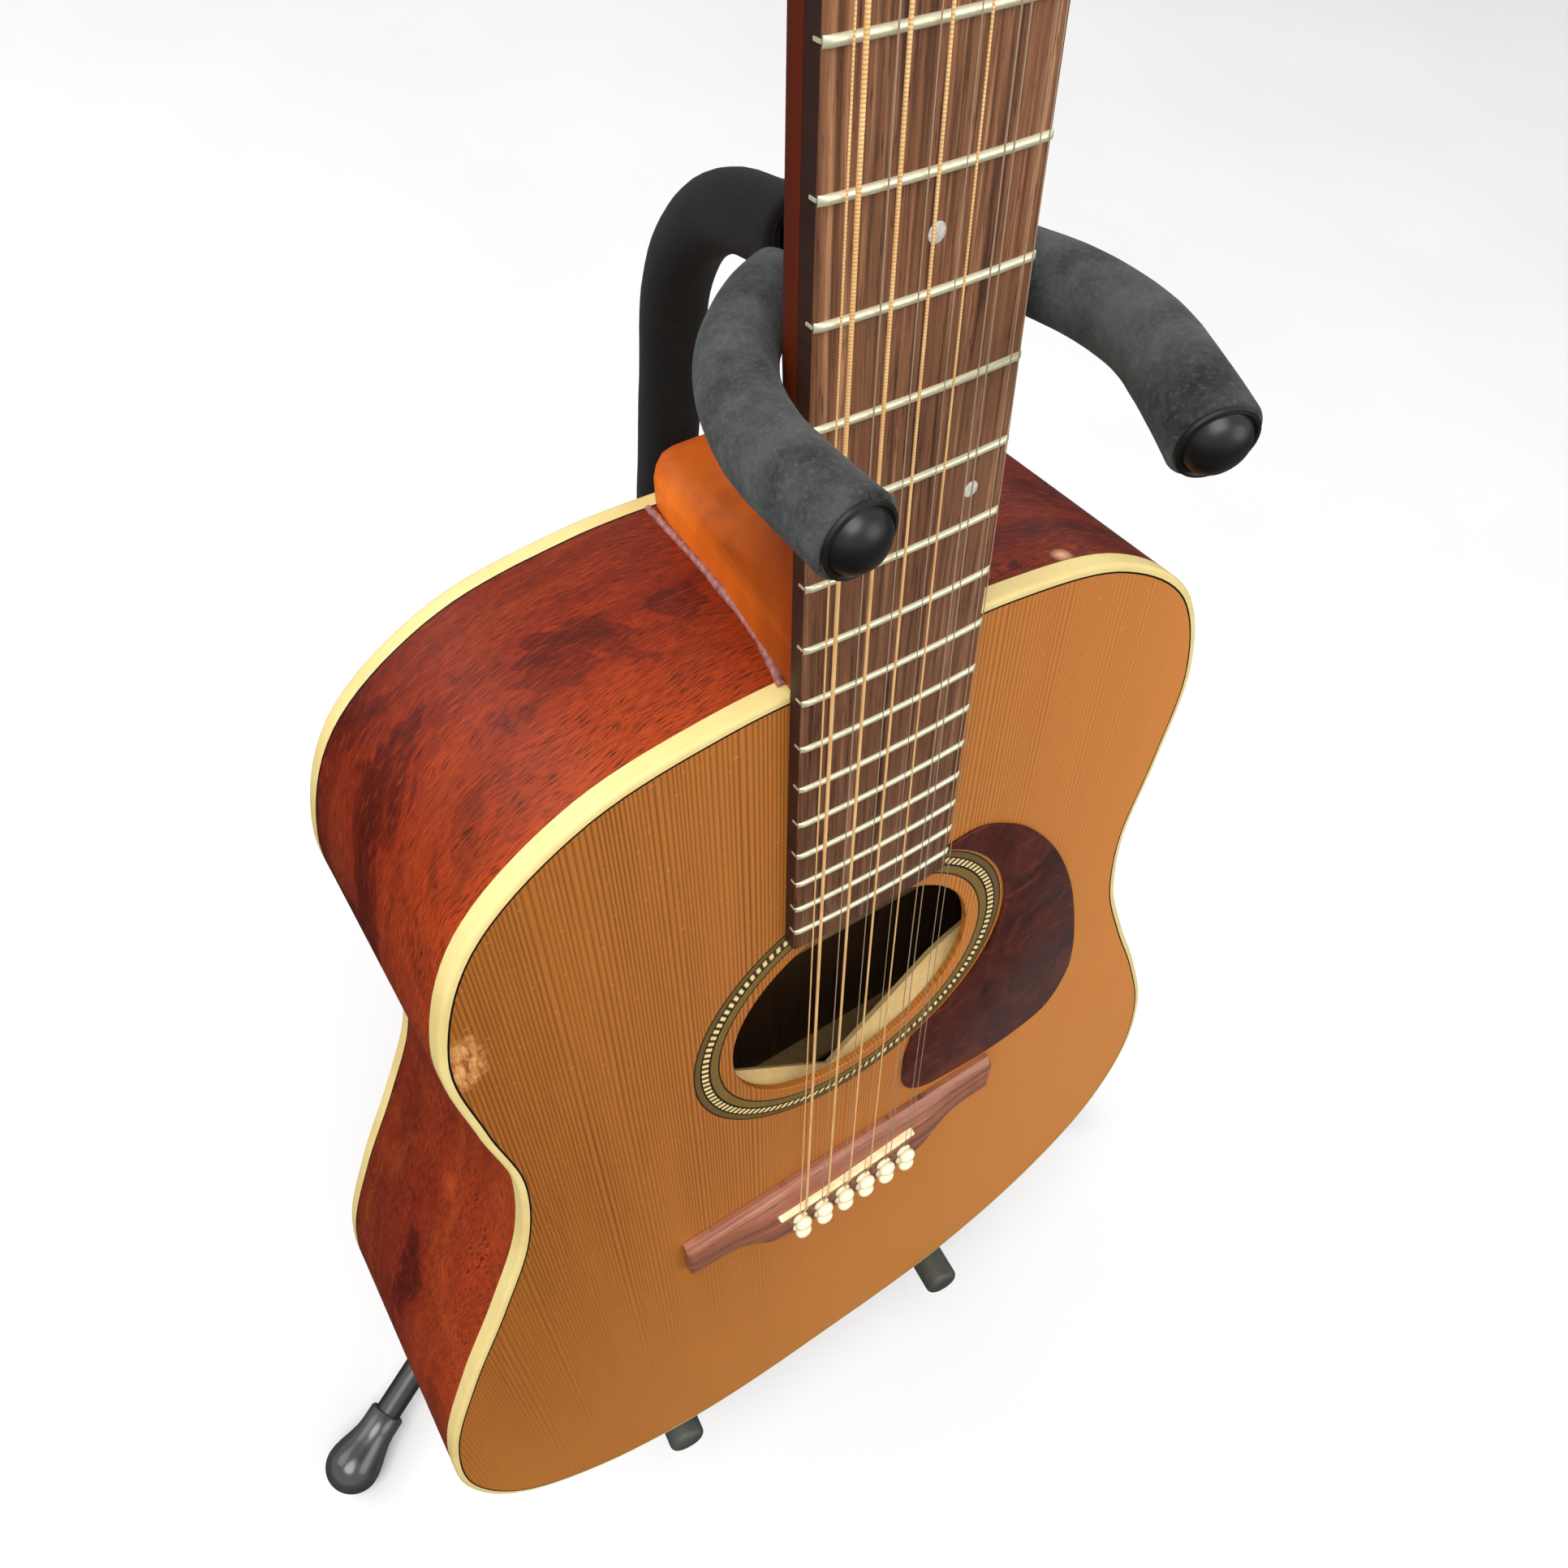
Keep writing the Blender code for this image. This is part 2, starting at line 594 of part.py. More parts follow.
def build_yoke(pin_at):
    turned = frame("yoke_pivot", pin_at, yoke_turn(YOKE_SWIVEL))
    right, head_r = yoke_path(1, 8.0)
    left, head_l = yoke_path(-1, 8.0)
    rod_end = YOKE_TIP - 3.0
    path = [left[-1] + head_l * rod_end] + left[::-1] + right + [right[-1] + head_r * rod_end]
    yoke = tube("yoke_tube", path, ROD_R, 10, "black_steel", turned)
    boss = prism("yoke_boss", circle(8.5, 16), -7.0 + GAP, 4.0, "black_steel", turned)
    web = prism("yoke_web", [(-5, -PIVOT_BACK), (5, -PIVOT_BACK), (5, -5), (-5, -5)], -4.0, 4.0,
                "black_steel", turned)
    bore = prism("yoke_bore", circle(3.1, 16), -20.0, 20.0, "black_steel", turned)
    combine(yoke, boss, "UNION")
    combine(yoke, web, "UNION")
    combine(yoke, bore, "DIFFERENCE")
    for name, side in (("left", -1), ("right", 1)):
        points, heading = yoke_path(side, 24.0)
        tip = points[-1] + heading * (YOKE_TIP - 2.5)
        tube(f"yoke_sleeve_{name}", points + [tip], YOKE_R, 14, "foam", turned, bore=ROD_R + GAP)
        place = frame_along(points[-1] + heading * YOKE_TIP, heading)
        profile = ((0.0, -2.2), (YOKE_R - 0.6, -2.2), (YOKE_R - 0.2, -1.0), (YOKE_R - 0.9, 0.6),
                   (7.0, 2.6), (4.2, 4.2), (0.0, 4.9))
        lathe(f"yoke_cap_{name}", profile, 14, "black_plastic", turned, 40.0, place)


def frame_along(place, heading):
    """Matrix that carries local Z onto a heading at a place in millimetres."""
    turn = Vector(heading).to_track_quat("Z", "Y").to_matrix().to_4x4()
    return Matrix.Translation(Vector(place) * MM) @ turn


def cradle_height(y):
    return CRADLE_TIP[1] - (y - CRADLE_TIP[0]) * math.tan(math.radians(CRADLE_SLOPE))


def build_cradle():
    corner = []
    for k in range(7):
        a = math.pi / 2 * k / 6
        x = CRADLE_HALF - CRADLE_BEND + CRADLE_BEND * math.cos(a)
        y = CRADLE_BACK - CRADLE_BEND + CRADLE_BEND * math.sin(a)
        corner.append((x, y))
    arm = [(CRADLE_HALF, CRADLE_TIP[0] + 8.0)] + corner
    flat = arm + [(-x, y) for x, y in reversed(arm)]
    path = [(x, y, cradle_height(y)) for x, y in flat]
    turned = frame("cradle_turn", (0, 0, 0), rotation("Z", CRADLE_TURN))
    cradle = tube("cradle_frame", path, ROD_R, 10, "black_steel", turned)
    low = cradle_height(CRADLE_BACK) - 11.0
    high = low + 22.0
    band = ring("cradle_band", circle(15.0, 16), circle(BASE_R + GAP, 16), low, high, "black_steel", turned)
    block = [(-9, -26), (9, -26), (9, -11), (-9, -11)]
    stem = prism("cradle_stem", block, low, high, "black_steel", turned)
    combine(cradle, band, "UNION")
    combine(cradle, stem, "UNION")
    slope = math.tan(math.radians(CRADLE_SLOPE))
    heading = Vector((0, -1, slope)).normalized()
    for name, side in (("left", -1), ("right", 1)):
        tip = Vector((side * CRADLE_HALF, CRADLE_TIP[0], CRADLE_TIP[1]))
        start = tip - heading * 150.0
        seat = tip - heading * 7.0
        inner = sweep_rings([start, seat], ROD_R + GAP, 14)
        outer = sweep_rings([start, tip - heading * 2.5], PAD_R, 14)
        rim = sweep_rings([tip - heading, tip], PAD_R - 0.8, 14)
        face = sweep_rings([tip - heading, tip], PAD_R - 2.0, 14)
        sections = [inner[1], inner[0], outer[0], outer[1], rim[0], face[1]]
        loft(f"cradle_pad_{name}", sections, "rubber", turned, smooth=40.0)


def build_base():
    tube("base_tube", [(0, 0, BASE_Z[0]), (0, 0, BASE_Z[1])], BASE_R, 16, "black_steel", bore=BASE_BORE)
    hub = ring("leg_hub", circle(HUB_R, 30), circle(BASE_R + GAP, 30), HUB_Z[0], HUB_Z[1], "black_plastic")
    for name, degrees in LEG_ANGLES.items():
        turned = frame(f"leg_frame_{name}", (0, 0, PIVOT_Z), rotation("Z", degrees))
        slot = prism(
            f"hub_slot_{name}", [(-6.3, -45), (6.3, -45), (6.3, -12.2), (-6.3, -12.2)], -40.0, 40.0,
            "black_plastic", turned,
        )
        combine(hub, slot, "DIFFERENCE")
        sideways = Matrix.Translation(Vector((-9.0, -PIVOT_R, 0)) * MM) @ rotation("Y", 90).to_4x4()
        pin = lathe(f"hub_pin_{name}", ((0.0, 0.0), (2.5, 0.0), (2.5, 18.0), (0.0, 18.0)), 12,
                    "black_plastic", turned, place=sideways)
        combine(hub, pin, "UNION")
        build_leg(name, turned)
    collar = ring(
        "clamp_collar", circle(14.5, 20), circle(BASE_R + GAP, 20),
        COLLAR_Z[0], BASE_Z[1] + GAP, "black_plastic",
    )
    lid = ring(
        "collar_lid", circle(14.5, 20), circle(MAST_R + GAP, 20),
        BASE_Z[1] + 0.2, COLLAR_Z[1], "black_plastic",
    )
    middle = 391.0
    backward = Matrix.Translation(Vector((0, 11.0, middle)) * MM) @ rotation("X", -90).to_4x4()
    boss = lathe("collar_boss", ((0.0, 0.0), (8.0, 0.0), (7.0, 12.0), (0.0, 12.0)), 16,
                 "black_plastic", place=backward)
    drill = lathe("collar_drill", ((0.0, -3.0), (3.4, -3.0), (3.4, 30.0), (0.0, 30.0)), 12,
                  "black_plastic", place=backward)
    combine(collar, lid, "UNION")
    combine(collar, boss, "UNION")
    combine(collar, drill, "DIFFERENCE")
    screw = Matrix.Translation(Vector((0, BASE_R + 0.5, middle)) * MM) @ rotation("X", -90).to_4x4()
    profile = ((0.0, 0.0), (3.0, 0.0), (3.0, 14.5), (7.0, 15.0), (13.0, 18.0), (14.5, 21.0), (14.5, 28.0),
               (11.0, 31.0), (0.0, 31.5))
    lathe("clamp_knob", profile, 14, "black_plastic", place=screw)


def build_leg(name, turned):
    """A flattened tongue on the hub pin, a straight tube and a rubber boot on the floor."""
    run = Vector((0, -(FOOT_AT - PIVOT_R), FOOT_Z - PIVOT_Z))
    length = run.length
    pivot = frame(f"leg_pivot_{name}", (0, -PIVOT_R, 0), parent=turned)
    slope = math.degrees(math.atan2(run.z, -run.y))
    leg_axis = frame(f"leg_axis_{name}", (0, 0, 0), rotation("X", -slope), pivot)
    leg = tube(f"leg_{name}", [(0, -18.0, 0), (0, -(length - 8.0), 0)], LEG_R, 12, "black_steel", leg_axis,
               bore=LEG_BORE)
    nose = [(7.0 * math.cos(a), 7.0 * math.sin(a)) for a in np.linspace(0, math.pi, 9)]
    loop = [(y, z) for z, y in nose] + [(-30.0, -7.0), (-30.0, 7.0)]
    tongue = loft(f"leg_tongue_{name}", [[(x, y, z) for y, z in loop] for x in (-6.0, 6.0)],
                  "black_steel", leg_axis)
    drill = ((0.0, -20.0), (2.8, -20.0), (2.8, 20.0), (0.0, 20.0))
    bore = lathe(f"leg_bore_{name}", drill, 12, "black_steel",
                 leg_axis, place=rotation("Y", 90).to_4x4())
    combine(leg, tongue, "UNION")
    combine(leg, bore, "DIFFERENCE")
    place = frame_along((0, -length, 0), (0, -1, 0))
    profile = [
        (0.0, -7.0), (LEG_R + GAP, -7.0), (LEG_R + GAP, -34.0),
        (10.8, -34.0), (11.4, -20.0), (14.5, -10.0),
    ]
    for k in range(6):
        a = math.pi / 2 * k / 6
        profile.append((FOOT_R * math.cos(a), FOOT_R * 0.9 * math.sin(a)))
    profile.append((0.0, FOOT_R * 0.9))
    foot = lathe(f"foot_{name}", profile, 14, "rubber", leg_axis, 40.0, place)
    floor = prism(f"floor_cut_{name}", [(-60, -400), (60, -400), (60, -200), (-60, -200)],
                  -PIVOT_Z - 40.0, -PIVOT_Z, "rubber", turned)
    combine(foot, floor, "DIFFERENCE")


def main():
    clear_scene()
    guitar = frame("guitar_frame", NUT_PLACE, rotation("Z", TWIST) @ rotation("X", 90.0 - LEAN))
    head = frame("headstock_frame", (0, 5.0, -1.0), rotation("X", -HEAD_TILT), guitar)
    build_body(guitar)
    build_fingerboard(guitar)
    build_neck(guitar, head)
    build_nut_and_bridge(guitar)
    build_trim(guitar)
    build_tuners(head)
    pin_at = Vector(YOKE_AT) + yoke_turn(YOKE_SWIVEL) @ Vector((0, PIVOT_BACK, 0))
    build_mast(pin_at)
    build_yoke(pin_at)
    build_cradle()
    build_base()
    for obj in bpy.context.scene.objects:
        if obj.parent is None:
            obj.location.y += CENTRE_Y * MM


main()
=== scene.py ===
import json
import math

import bmesh
import bpy
import numpy as np
from mathutils import Matrix, Vector, noise


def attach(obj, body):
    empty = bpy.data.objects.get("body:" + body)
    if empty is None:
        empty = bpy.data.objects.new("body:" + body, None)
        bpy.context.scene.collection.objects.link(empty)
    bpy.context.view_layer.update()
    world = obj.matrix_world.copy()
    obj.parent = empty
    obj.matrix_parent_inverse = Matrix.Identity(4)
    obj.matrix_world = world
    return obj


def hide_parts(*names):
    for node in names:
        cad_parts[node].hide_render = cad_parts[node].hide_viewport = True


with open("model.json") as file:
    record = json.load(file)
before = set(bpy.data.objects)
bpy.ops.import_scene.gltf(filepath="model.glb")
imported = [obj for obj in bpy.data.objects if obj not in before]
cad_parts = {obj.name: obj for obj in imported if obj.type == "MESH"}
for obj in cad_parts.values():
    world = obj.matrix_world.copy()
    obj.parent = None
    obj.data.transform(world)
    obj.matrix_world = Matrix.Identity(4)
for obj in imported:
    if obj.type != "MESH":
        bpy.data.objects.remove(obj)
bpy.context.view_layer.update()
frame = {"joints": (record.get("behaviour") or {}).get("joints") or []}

MM = 0.001
JOINTS = {j["name"]: j for j in frame["joints"]}

# ---- dimensions shared with the CAD part, millimetres ----
SCALE, FRETS = 647.7, 21
NUT_WIDTH, WIDTH_GAIN = 46.5, 0.0262
BOARD_END, BOARD_TOP = -464.6, 6.0
NECK_DEPTH_NUT, NECK_DEPTH_HEEL = 15.5, 20.0
HALF_OUTLINE = (
    (0, -361), (45, -361.4), (88, -370.5), (121, -395), (136.8, -436), (134.5, -481),
    (129.6, -522), (135, -560), (150, -599), (172, -648), (190, -700), (194, -752),
    (177, -807), (138, -848), (84, -874), (0, -881.5),
)
DEPTH_NECK, DEPTH_TAIL = 93.0, 127.0
HOLE_V, HOLE_R = -521.0, 50.0
ROSETTE = (55.4, 65.6)
BRIDGE_FRONT, BRIDGE_HALF, BRIDGE_TALL = -641.0, 78.5, 8.6
SADDLE_V, SADDLE_TALL, PIN_V, PIN_PITCH, PIN_ROWS = -651.0, 2.3, -668.0, 11.0, 7.8
HEAD_TILT, HEAD_LONG, HEAD_THICK = 13.0, 186.0, 15.0
TUNER_PITCH, TUNER_FIRST, POST_U = 26.0, 32.0, 22.0
BASE_R, BASE_Z = 9.5, (30.0, 404.0)
MAST_R, MAST_Z, BEND_R, BEND_RISE = 6.7, (330.0, 655.9), 62.3, 20.9
YOKE_AT, YOKE_PITCH, YOKE_ROLL, YOKE_SWIVEL = (1.9, -79.0, 729.3), 10.9, -6.0, -7.4
YOKE_SIDE, YOKE_REACH, YOKE_SWEEP, YOKE_TIP = 41.0, 54.4, 102.4, 22.0
YOKE_R, ROD_R, PIVOT_BACK, SLEEVE_R = 8.7, 6.0, 15.0, 10.0
CRADLE_HALF, CRADLE_TIP, CRADLE_SLOPE, CRADLE_TURN = 84.4, (-252.0, 139.0), 12.0, -0.7
CRADLE_BACK, CRADLE_BEND, PAD_R = -22.0, 40.0, 9.75
LEG_R, PIVOT_R, PIVOT_Z, FOOT_AT, FOOT_Z, FOOT_R = 8.0, 22.0, 62.0, 315.0, 15.0, 16.5
LEG_ANGLES = {"left": -57.7, "right": 57.7, "rear": 180.0}
HUB_R, HUB_Z, COLLAR_Z, KNOB_Z = 30.0, (50.0, 77.0), (376.0, 416.0), 391.0

# ---- dimensions of the visible pieces only, millimetres ----
EDGE_DEEP, TOP_THICK, BACK_THICK = 6.0, 3.0, 2.8
ARCH_V, ARCH_RISE, ARCH_SPANS = -600.0, 2.0, (236.5, 279.0)
NUT_TOP, NUT_CROWN, SADDLE_CROWN = 7.7, 0.5, 0.6
SADDLE_ENDS = ((-38.0, SADDLE_V - 1.6), (31.5, SADDLE_V + 1.4))
STRING_FIRST, COURSE_PITCH, PAIR_NUT, PAIR_SADDLE = -18.4, 7.2, 0.95, 1.4
COIL_R, COIL_Z = 2.75, 6.4
VENEER_THICK, EYE_R = 1.3, 9.0
PLATE_MID, PLATE_HALF, PLATE_THICK = 23.0, 8.0, 1.6
SLEEVE_FOOT, GRIP_LONG, GRIP_ROUND, GRIP_SHIFT = 470.0, 150.0, 3.6, 4.0
BAND_R, BAND_TALL, BOOT_TALL, FLOOR_HALF, FLOOR_GAP = 15.0, 22.0, 0.9 * FOOT_R, 150000.0, 0.05

# ---- points per turn of a coil, points round a screw, points along half the outline ----
COIL_STEPS, SCREW_SEGS, OUTLINE_STEPS = 24, 14, 150


def turn(axis, degrees):
    return Matrix.Rotation(math.radians(degrees), 4, axis)


def shift(x, y, z):
    return Matrix.Translation(Vector((x, y, z)) * MM)


def at_joint(name, frame_of):
    """A frame's directions, with its origin on a joint."""
    at = frame_of.copy()
    at.translation = Vector(JOINTS[name]["pos_m"])
    return at


def solve_frames():
    """Guitar, headstock and stand frames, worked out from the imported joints."""
    u = Vector(JOINTS["key_turn_treble_1"]["axis"]).normalized()
    v = Vector(JOINTS["guitar_lift"]["axis"]).normalized()
    w = u.cross(v).normalized()
    v = w.cross(u)
    guitar = Matrix((u, v, w)).transposed().to_4x4()
    left = Vector(JOINTS["key_turn_bass_1"]["pos_m"])
    right = Vector(JOINTS["key_turn_treble_1"]["pos_m"])
    middle = (left + right) / 2
    head_local = shift(0, 5.0, -1.0) @ turn("X", -HEAD_TILT)
    offset = head_local @ (Vector((0, TUNER_FIRST, -HEAD_THICK - 5.5)) * MM)
    guitar.translation = middle - guitar.to_3x3() @ offset
    knob = Vector(JOINTS["clamp_turn"]["pos_m"])
    stand = Matrix.Translation((knob.x, knob.y - (BASE_R + 0.5) * MM, 0))
    return guitar, guitar @ head_local, stand


GUITAR, HEAD, STAND = solve_frames()


# ---------------------------------------------------------------- materials

class Nodes:
    """Short way to write a node tree."""

    def __init__(self, tree):
        self.tree = tree

    def node(self, kind, **settings):
        made = self.tree.nodes.new(kind)
        for key, value in settings.items():
            setattr(made, key, value)
        return made

    def put(self, value, socket):
        if isinstance(value, bpy.types.NodeSocket):
            self.tree.links.new(value, socket)
        elif isinstance(value, tuple) and len(value) == 3 and socket.type == "RGBA":
            socket.default_value = (*value, 1.0)
        else:
            socket.default_value = value

    def fill(self, made, *values):
        """Sets a node's first inputs and gives its first output."""
        for value, socket in zip(values, made.inputs):
            self.put(value, socket)
        return made.outputs[0]

    def math(self, kind, *values):
        return self.fill(self.node("ShaderNodeMath", operation=kind), *values)

    def plus(self, a, b):
        return self.math("ADD", a, b)

    def times(self, a, b):
        return self.math("MULTIPLY", a, b)

    def linear(self, value, gain, offset):
        return self.math("MULTIPLY_ADD", value, gain, offset)

    def span(self, value, start, end, low, high):
        """Carries start..end to low..high, clamped."""
        return self.fill(self.node("ShaderNodeMapRange"), value, start, end, low, high)

    def split(self, source):
        made = self.node("ShaderNodeSeparateXYZ")
        self.put(source, made.inputs[0])
        return tuple(made.outputs)[:3]

    def join(self, x, y, z):
        return self.fill(self.node("ShaderNodeCombineXYZ"), x, y, z)

    def ramp(self, value, *stops, smooth="LINEAR"):
        made = self.node("ShaderNodeValToRGB")
        made.color_ramp.interpolation = smooth
        elements = made.color_ramp.elements
        while len(elements) < len(stops):
            elements.new(0.5)
        for element, (place, colour) in zip(elements, stops):
            element.position = place
            element.color = (*colour, 1.0) if isinstance(colour, tuple) else (colour, colour, colour, 1.0)
        return self.fill(made, value)

    def mix(self, share, a, b):
        made = self.node("ShaderNodeMix", data_type="RGBA")
        for value, index in ((share, 0), (a, 6), (b, 7)):
            self.put(value, made.inputs[index])
        return made.outputs[2]

    def lay(self, base, value, colour, *stops):
        """Lays a colour over the base, by the amount that a ramp of the value gives."""
        return self.mix(self.ramp(value, *stops), base, colour)


class Paint(Nodes):
    """One material, written in object coordinates."""

    def __init__(self, name, rough, metal=0.0, coat=0.0, coat_rough=0.1, specular=0.5, sheen=0.0):
        self.mat = bpy.data.materials.new(name)
        self.mat.use_nodes = True
        super().__init__(self.mat.node_tree)
        self.shader = self.tree.nodes["Principled BSDF"].inputs
        settings = {"Roughness": rough, "Metallic": metal, "Coat Weight": coat, "Coat Roughness": coat_rough,
                    "Specular IOR Level": specular, "Sheen Weight": sheen}
        for key, value in settings.items():
            self.shader[key].default_value = value
        self.coord = self.node("ShaderNodeTexCoord").outputs["Object"]

    def scaled(self, factors, source=None):
        made = self.node("ShaderNodeMapping")
        self.put(source or self.coord, made.inputs["Vector"])
        made.inputs["Scale"].default_value = factors
        return made.outputs[0]

    def noise(self, scale, detail=3.0, rough=0.5, distortion=0.0, source=None):
        """Noise at one scale, or at a scale for each axis."""
        made = self.node("ShaderNodeTexNoise")
        if isinstance(scale, tuple):
            source = self.scaled(scale, source)
            scale = 1.0
        self.put(source or self.coord, made.inputs["Vector"])
        settings = {"Scale": scale, "Detail": detail, "Roughness": rough, "Distortion": distortion}
        for key, value in settings.items():
            made.inputs[key].default_value = value
        return made.outputs[0]

    def away(self, point, factors):
        """Distance from a point, measured with a factor for each axis."""
        made = self.node("ShaderNodeVectorMath", operation="DISTANCE")
        self.put(self.scaled(factors), made.inputs[0])
        made.inputs[1].default_value = tuple(a * b for a, b in zip(point, factors))
        return made.outputs["Value"]

    def done(self, colour, rough=None, bump=None):
        """Connects the colour, the roughness (value, low, high) and the bump (height, strength, mm)."""
        self.put(colour, self.shader["Base Color"])
        if rough:
            value, low, high = rough
            self.put(self.span(value, 0.0, 1.0, low, high), self.shader["Roughness"])
        if bump:
            height, strength, distance = bump
            made = self.node("ShaderNodeBump")
            made.inputs["Strength"].default_value = strength
            made.inputs["Distance"].default_value = distance * MM
            self.put(height, made.inputs["Height"])
            self.put(made.outputs[0], self.shader["Normal"])
        return self.mat


def tone(red, green, blue):
    """Linear colour from an 8-bit display colour."""
    out = []
    for value in (red, green, blue):
        c = value / 255
        out.append(c / 12.92 if c <= 0.04045 else ((c + 0.055) / 1.055) ** 2.4)
    return tuple(out)


def faded(colour, share):
    """A colour made darker, or lighter with a share above 1."""
    return tuple(c * share for c in colour)


def cedar():
    """Straight fine grain along the strings, mirrored about the centre joint, with one worn patch."""
    p = Paint("cedar_top", 0.44, coat=0.06, coat_rough=0.25, specular=0.18)
    x, y = p.split(p.coord)[:2]
    wander = p.noise((9.0, 2.2, 0.0), 2.0)
    side = p.plus(p.math("ABSOLUTE", x), p.times(wander, 0.006))
    drift = p.noise(1.0, 2.0, source=p.join(p.times(side, 40.0), 0.3, 0.0))
    ring = p.math("FRACT", p.plus(p.times(side, 680.0), p.times(drift, 9.0)))
    late = p.ramp(ring, (0.0, 0.2), (0.36, 0.0), (0.6, 0.45), (0.84, 1.0), (1.0, 0.35))
    uneven = p.noise((60.0, 4.0, 60.0))
    late = p.times(late, p.ramp(uneven, (0.3, 0.5), (0.7, 1.0)))
    # Painted sheen: the grain lines are faded towards the tail and the treble side, where sheen washes them
    # out.
    late = p.times(late, p.ramp(p.linear(y, 3.8, 3.0), (0.0, 0.2), (1.0, 1.0)))
    late = p.times(late, p.ramp(p.times(x, 6.0), (0.0, 1.0), (0.75, 0.3)))
    broad = p.noise((7.0, 2.0, 5.0), rough=0.55)
    base = p.ramp(broad, (0.25, tone(129, 70, 11)), (0.5, tone(143, 80, 15)), (0.78, tone(157, 92, 22)))
    # Painted sheen and light: the top is lightened towards the treble side and towards the tail.
    base = p.lay(base, p.linear(x, 3.2, 0.48), tone(199, 127, 60), (0.0, 0.0), (0.5, 0.55), (1.0, 0.85))
    base = p.lay(base, p.linear(y, 3.2, 2.75), tone(182, 118, 52), (0.0, 0.55), (1.0, 0.0))
    base = p.lay(base, p.noise((1500.0, 34.0, 900.0), 2.0, 0.6), tone(182, 110, 32), (0.35, 0.0), (0.75, 0.4))
    base = p.mix(p.times(late, 0.86), base, tone(74, 34, 6))
    base = p.lay(base, p.noise((420.0, 700.0, 420.0), 2.0), tone(214, 150, 74), (0.66, 0.0), (0.74, 0.35))
    # The overlay is one worn patch of scuff marks.
    near = p.away((-0.1315, -0.441, 0.0), (1.35, 0.75, 1.0))
    overlay = p.ramp(p.plus(near, p.times(p.noise(240.0, 4.0, 0.7), 0.011)), (0.0135, 1.0), (0.0155, 0.0))
    scuff = p.noise((500.0, 140.0, 500.0), 5.0, 0.75, 0.8)
    marks = p.ramp(scuff, (0.38, tone(120, 70, 30)), (0.47, tone(186, 124, 66)), (0.62, tone(226, 172, 110)))
    return p.done(p.mix(p.times(overlay, 0.7), base, marks), (late, 0.40, 0.5), (late, 0.12, 0.12))


def side_wood(name, along=None):
    """Red stained laminate: short dark pores in long grain, and cloudy figure under a satin gloss."""
    p = Paint(name, 0.4, coat=0.05, coat_rough=0.2, specular=0.14)
    x, y, z = p.split(p.coord)
    source = p.join(y, x, z)
    if along:
        source = p.node("ShaderNodeAttribute", attribute_name=along).outputs["Vector"]
    s, across, depth = p.split(source)
    warp = p.noise((7.0, 16.0, 16.0), 3.0, 0.55, 0.6, source)
    flow = p.join(s, p.plus(across, p.times(warp, 0.03)), depth)
    cloud = p.noise((7.0, 13.0, 1.0), 4.0, 0.6, 1.6, flow)
    base = p.ramp(cloud, (0.32, tone(66, 13, 4)), (0.41, tone(88, 21, 5)), (0.46, tone(128, 36, 8)),
                  (0.6, tone(138, 46, 11)), (0.72, tone(166, 68, 18)))
    base = p.lay(base, cloud, tone(58, 10, 4), (0.427, 0.0), (0.44, 0.55), (0.453, 0.0))
    streak = p.noise((14.0, 120.0, 1.0), 4.0, 0.6, source=flow)
    base = p.lay(base, streak, tone(70, 15, 5), (0.42, 0.0), (0.7, 0.5))
    if along:
        # Painted light on the side wall: a painted highlight high on the bass side, painted shade towards the
        # back edge and on the treble side.
        height = p.linear(across, 12.0, 1.0)
        left = p.ramp(p.linear(x, -10.0, 0.5), (0.0, 0.0), (1.0, 1.0))
        lit = p.times(left, p.ramp(height, (0.4, 0.0), (0.95, 0.32)))
        base = p.mix(lit, base, tone(192, 76, 18))
        base = p.lay(base, height, tone(62, 12, 5), (0.0, 0.35), (0.42, 0.0))
        base = p.lay(base, left, tone(62, 16, 8), (0.0, 0.4), (1.0, 0.0))
    pore = p.noise((200.0, 3500.0, 1.0), 3.0, 0.6, source=flow)
    base = p.lay(base, pore, tone(44, 9, 3), (0.5, 0.0), (0.6, 0.75))
    glow = p.noise((150.0, 900.0, 1.0), 2.0, source=flow)
    base = p.lay(base, glow, tone(184, 72, 20), (0.55, 0.0), (0.78, 0.32))
    chip = p.plus(p.away((0.0695, -0.3645, -0.0085), (0.8, 1.0, 1.0)), p.times(p.noise(1400.0), 0.0012))
    base = p.lay(base, chip, tone(228, 180, 138), (0.0017, 1.0), (0.0019, 0.0))
    return p.done(base, (pore, 0.34, 0.5), (pore, 0.08, 0.08))


def neck_wood():
    """Neck wood stained deep red-brown, clearing to orange at the heel, satin."""
    p = Paint("neck_wood", 0.4, coat=0.05, coat_rough=0.3, specular=0.14)
    y, z = p.split(p.coord)[1:]
    grain = p.noise((170.0, 7.0, 120.0), 4.0, 0.6, 0.4)
    cloud = p.noise((26.0, 9.0, 26.0))
    base = p.ramp(cloud, (0.3, tone(204, 92, 16)), (0.55, tone(226, 108, 22)), (0.8, tone(238, 124, 32)))
    base = p.lay(base, grain, tone(150, 60, 12), (0.45, 0.0), (0.75, 0.4))
    # Real stain darkens the neck towards the nut; its steep rise across the heel's upper corner is painted
    # shade on the face turned to the neck.
    stain_and_shade = p.ramp(p.linear(y, 15.0, 5.4), (0.07, 0.0), (0.13, 0.08), (0.2, 0.5), (0.45, 0.6), (1.0, 0.93))
    shade = p.ramp(p.linear(z, 24.0, 1.0), (0.0, 0.0), (1.0, 0.66))
    base = p.mix(p.math("MAXIMUM", stain_and_shade, shade), base, tone(66, 14, 6))
    return p.done(base, (grain, 0.38, 0.52), (grain, 0.06, 0.1))


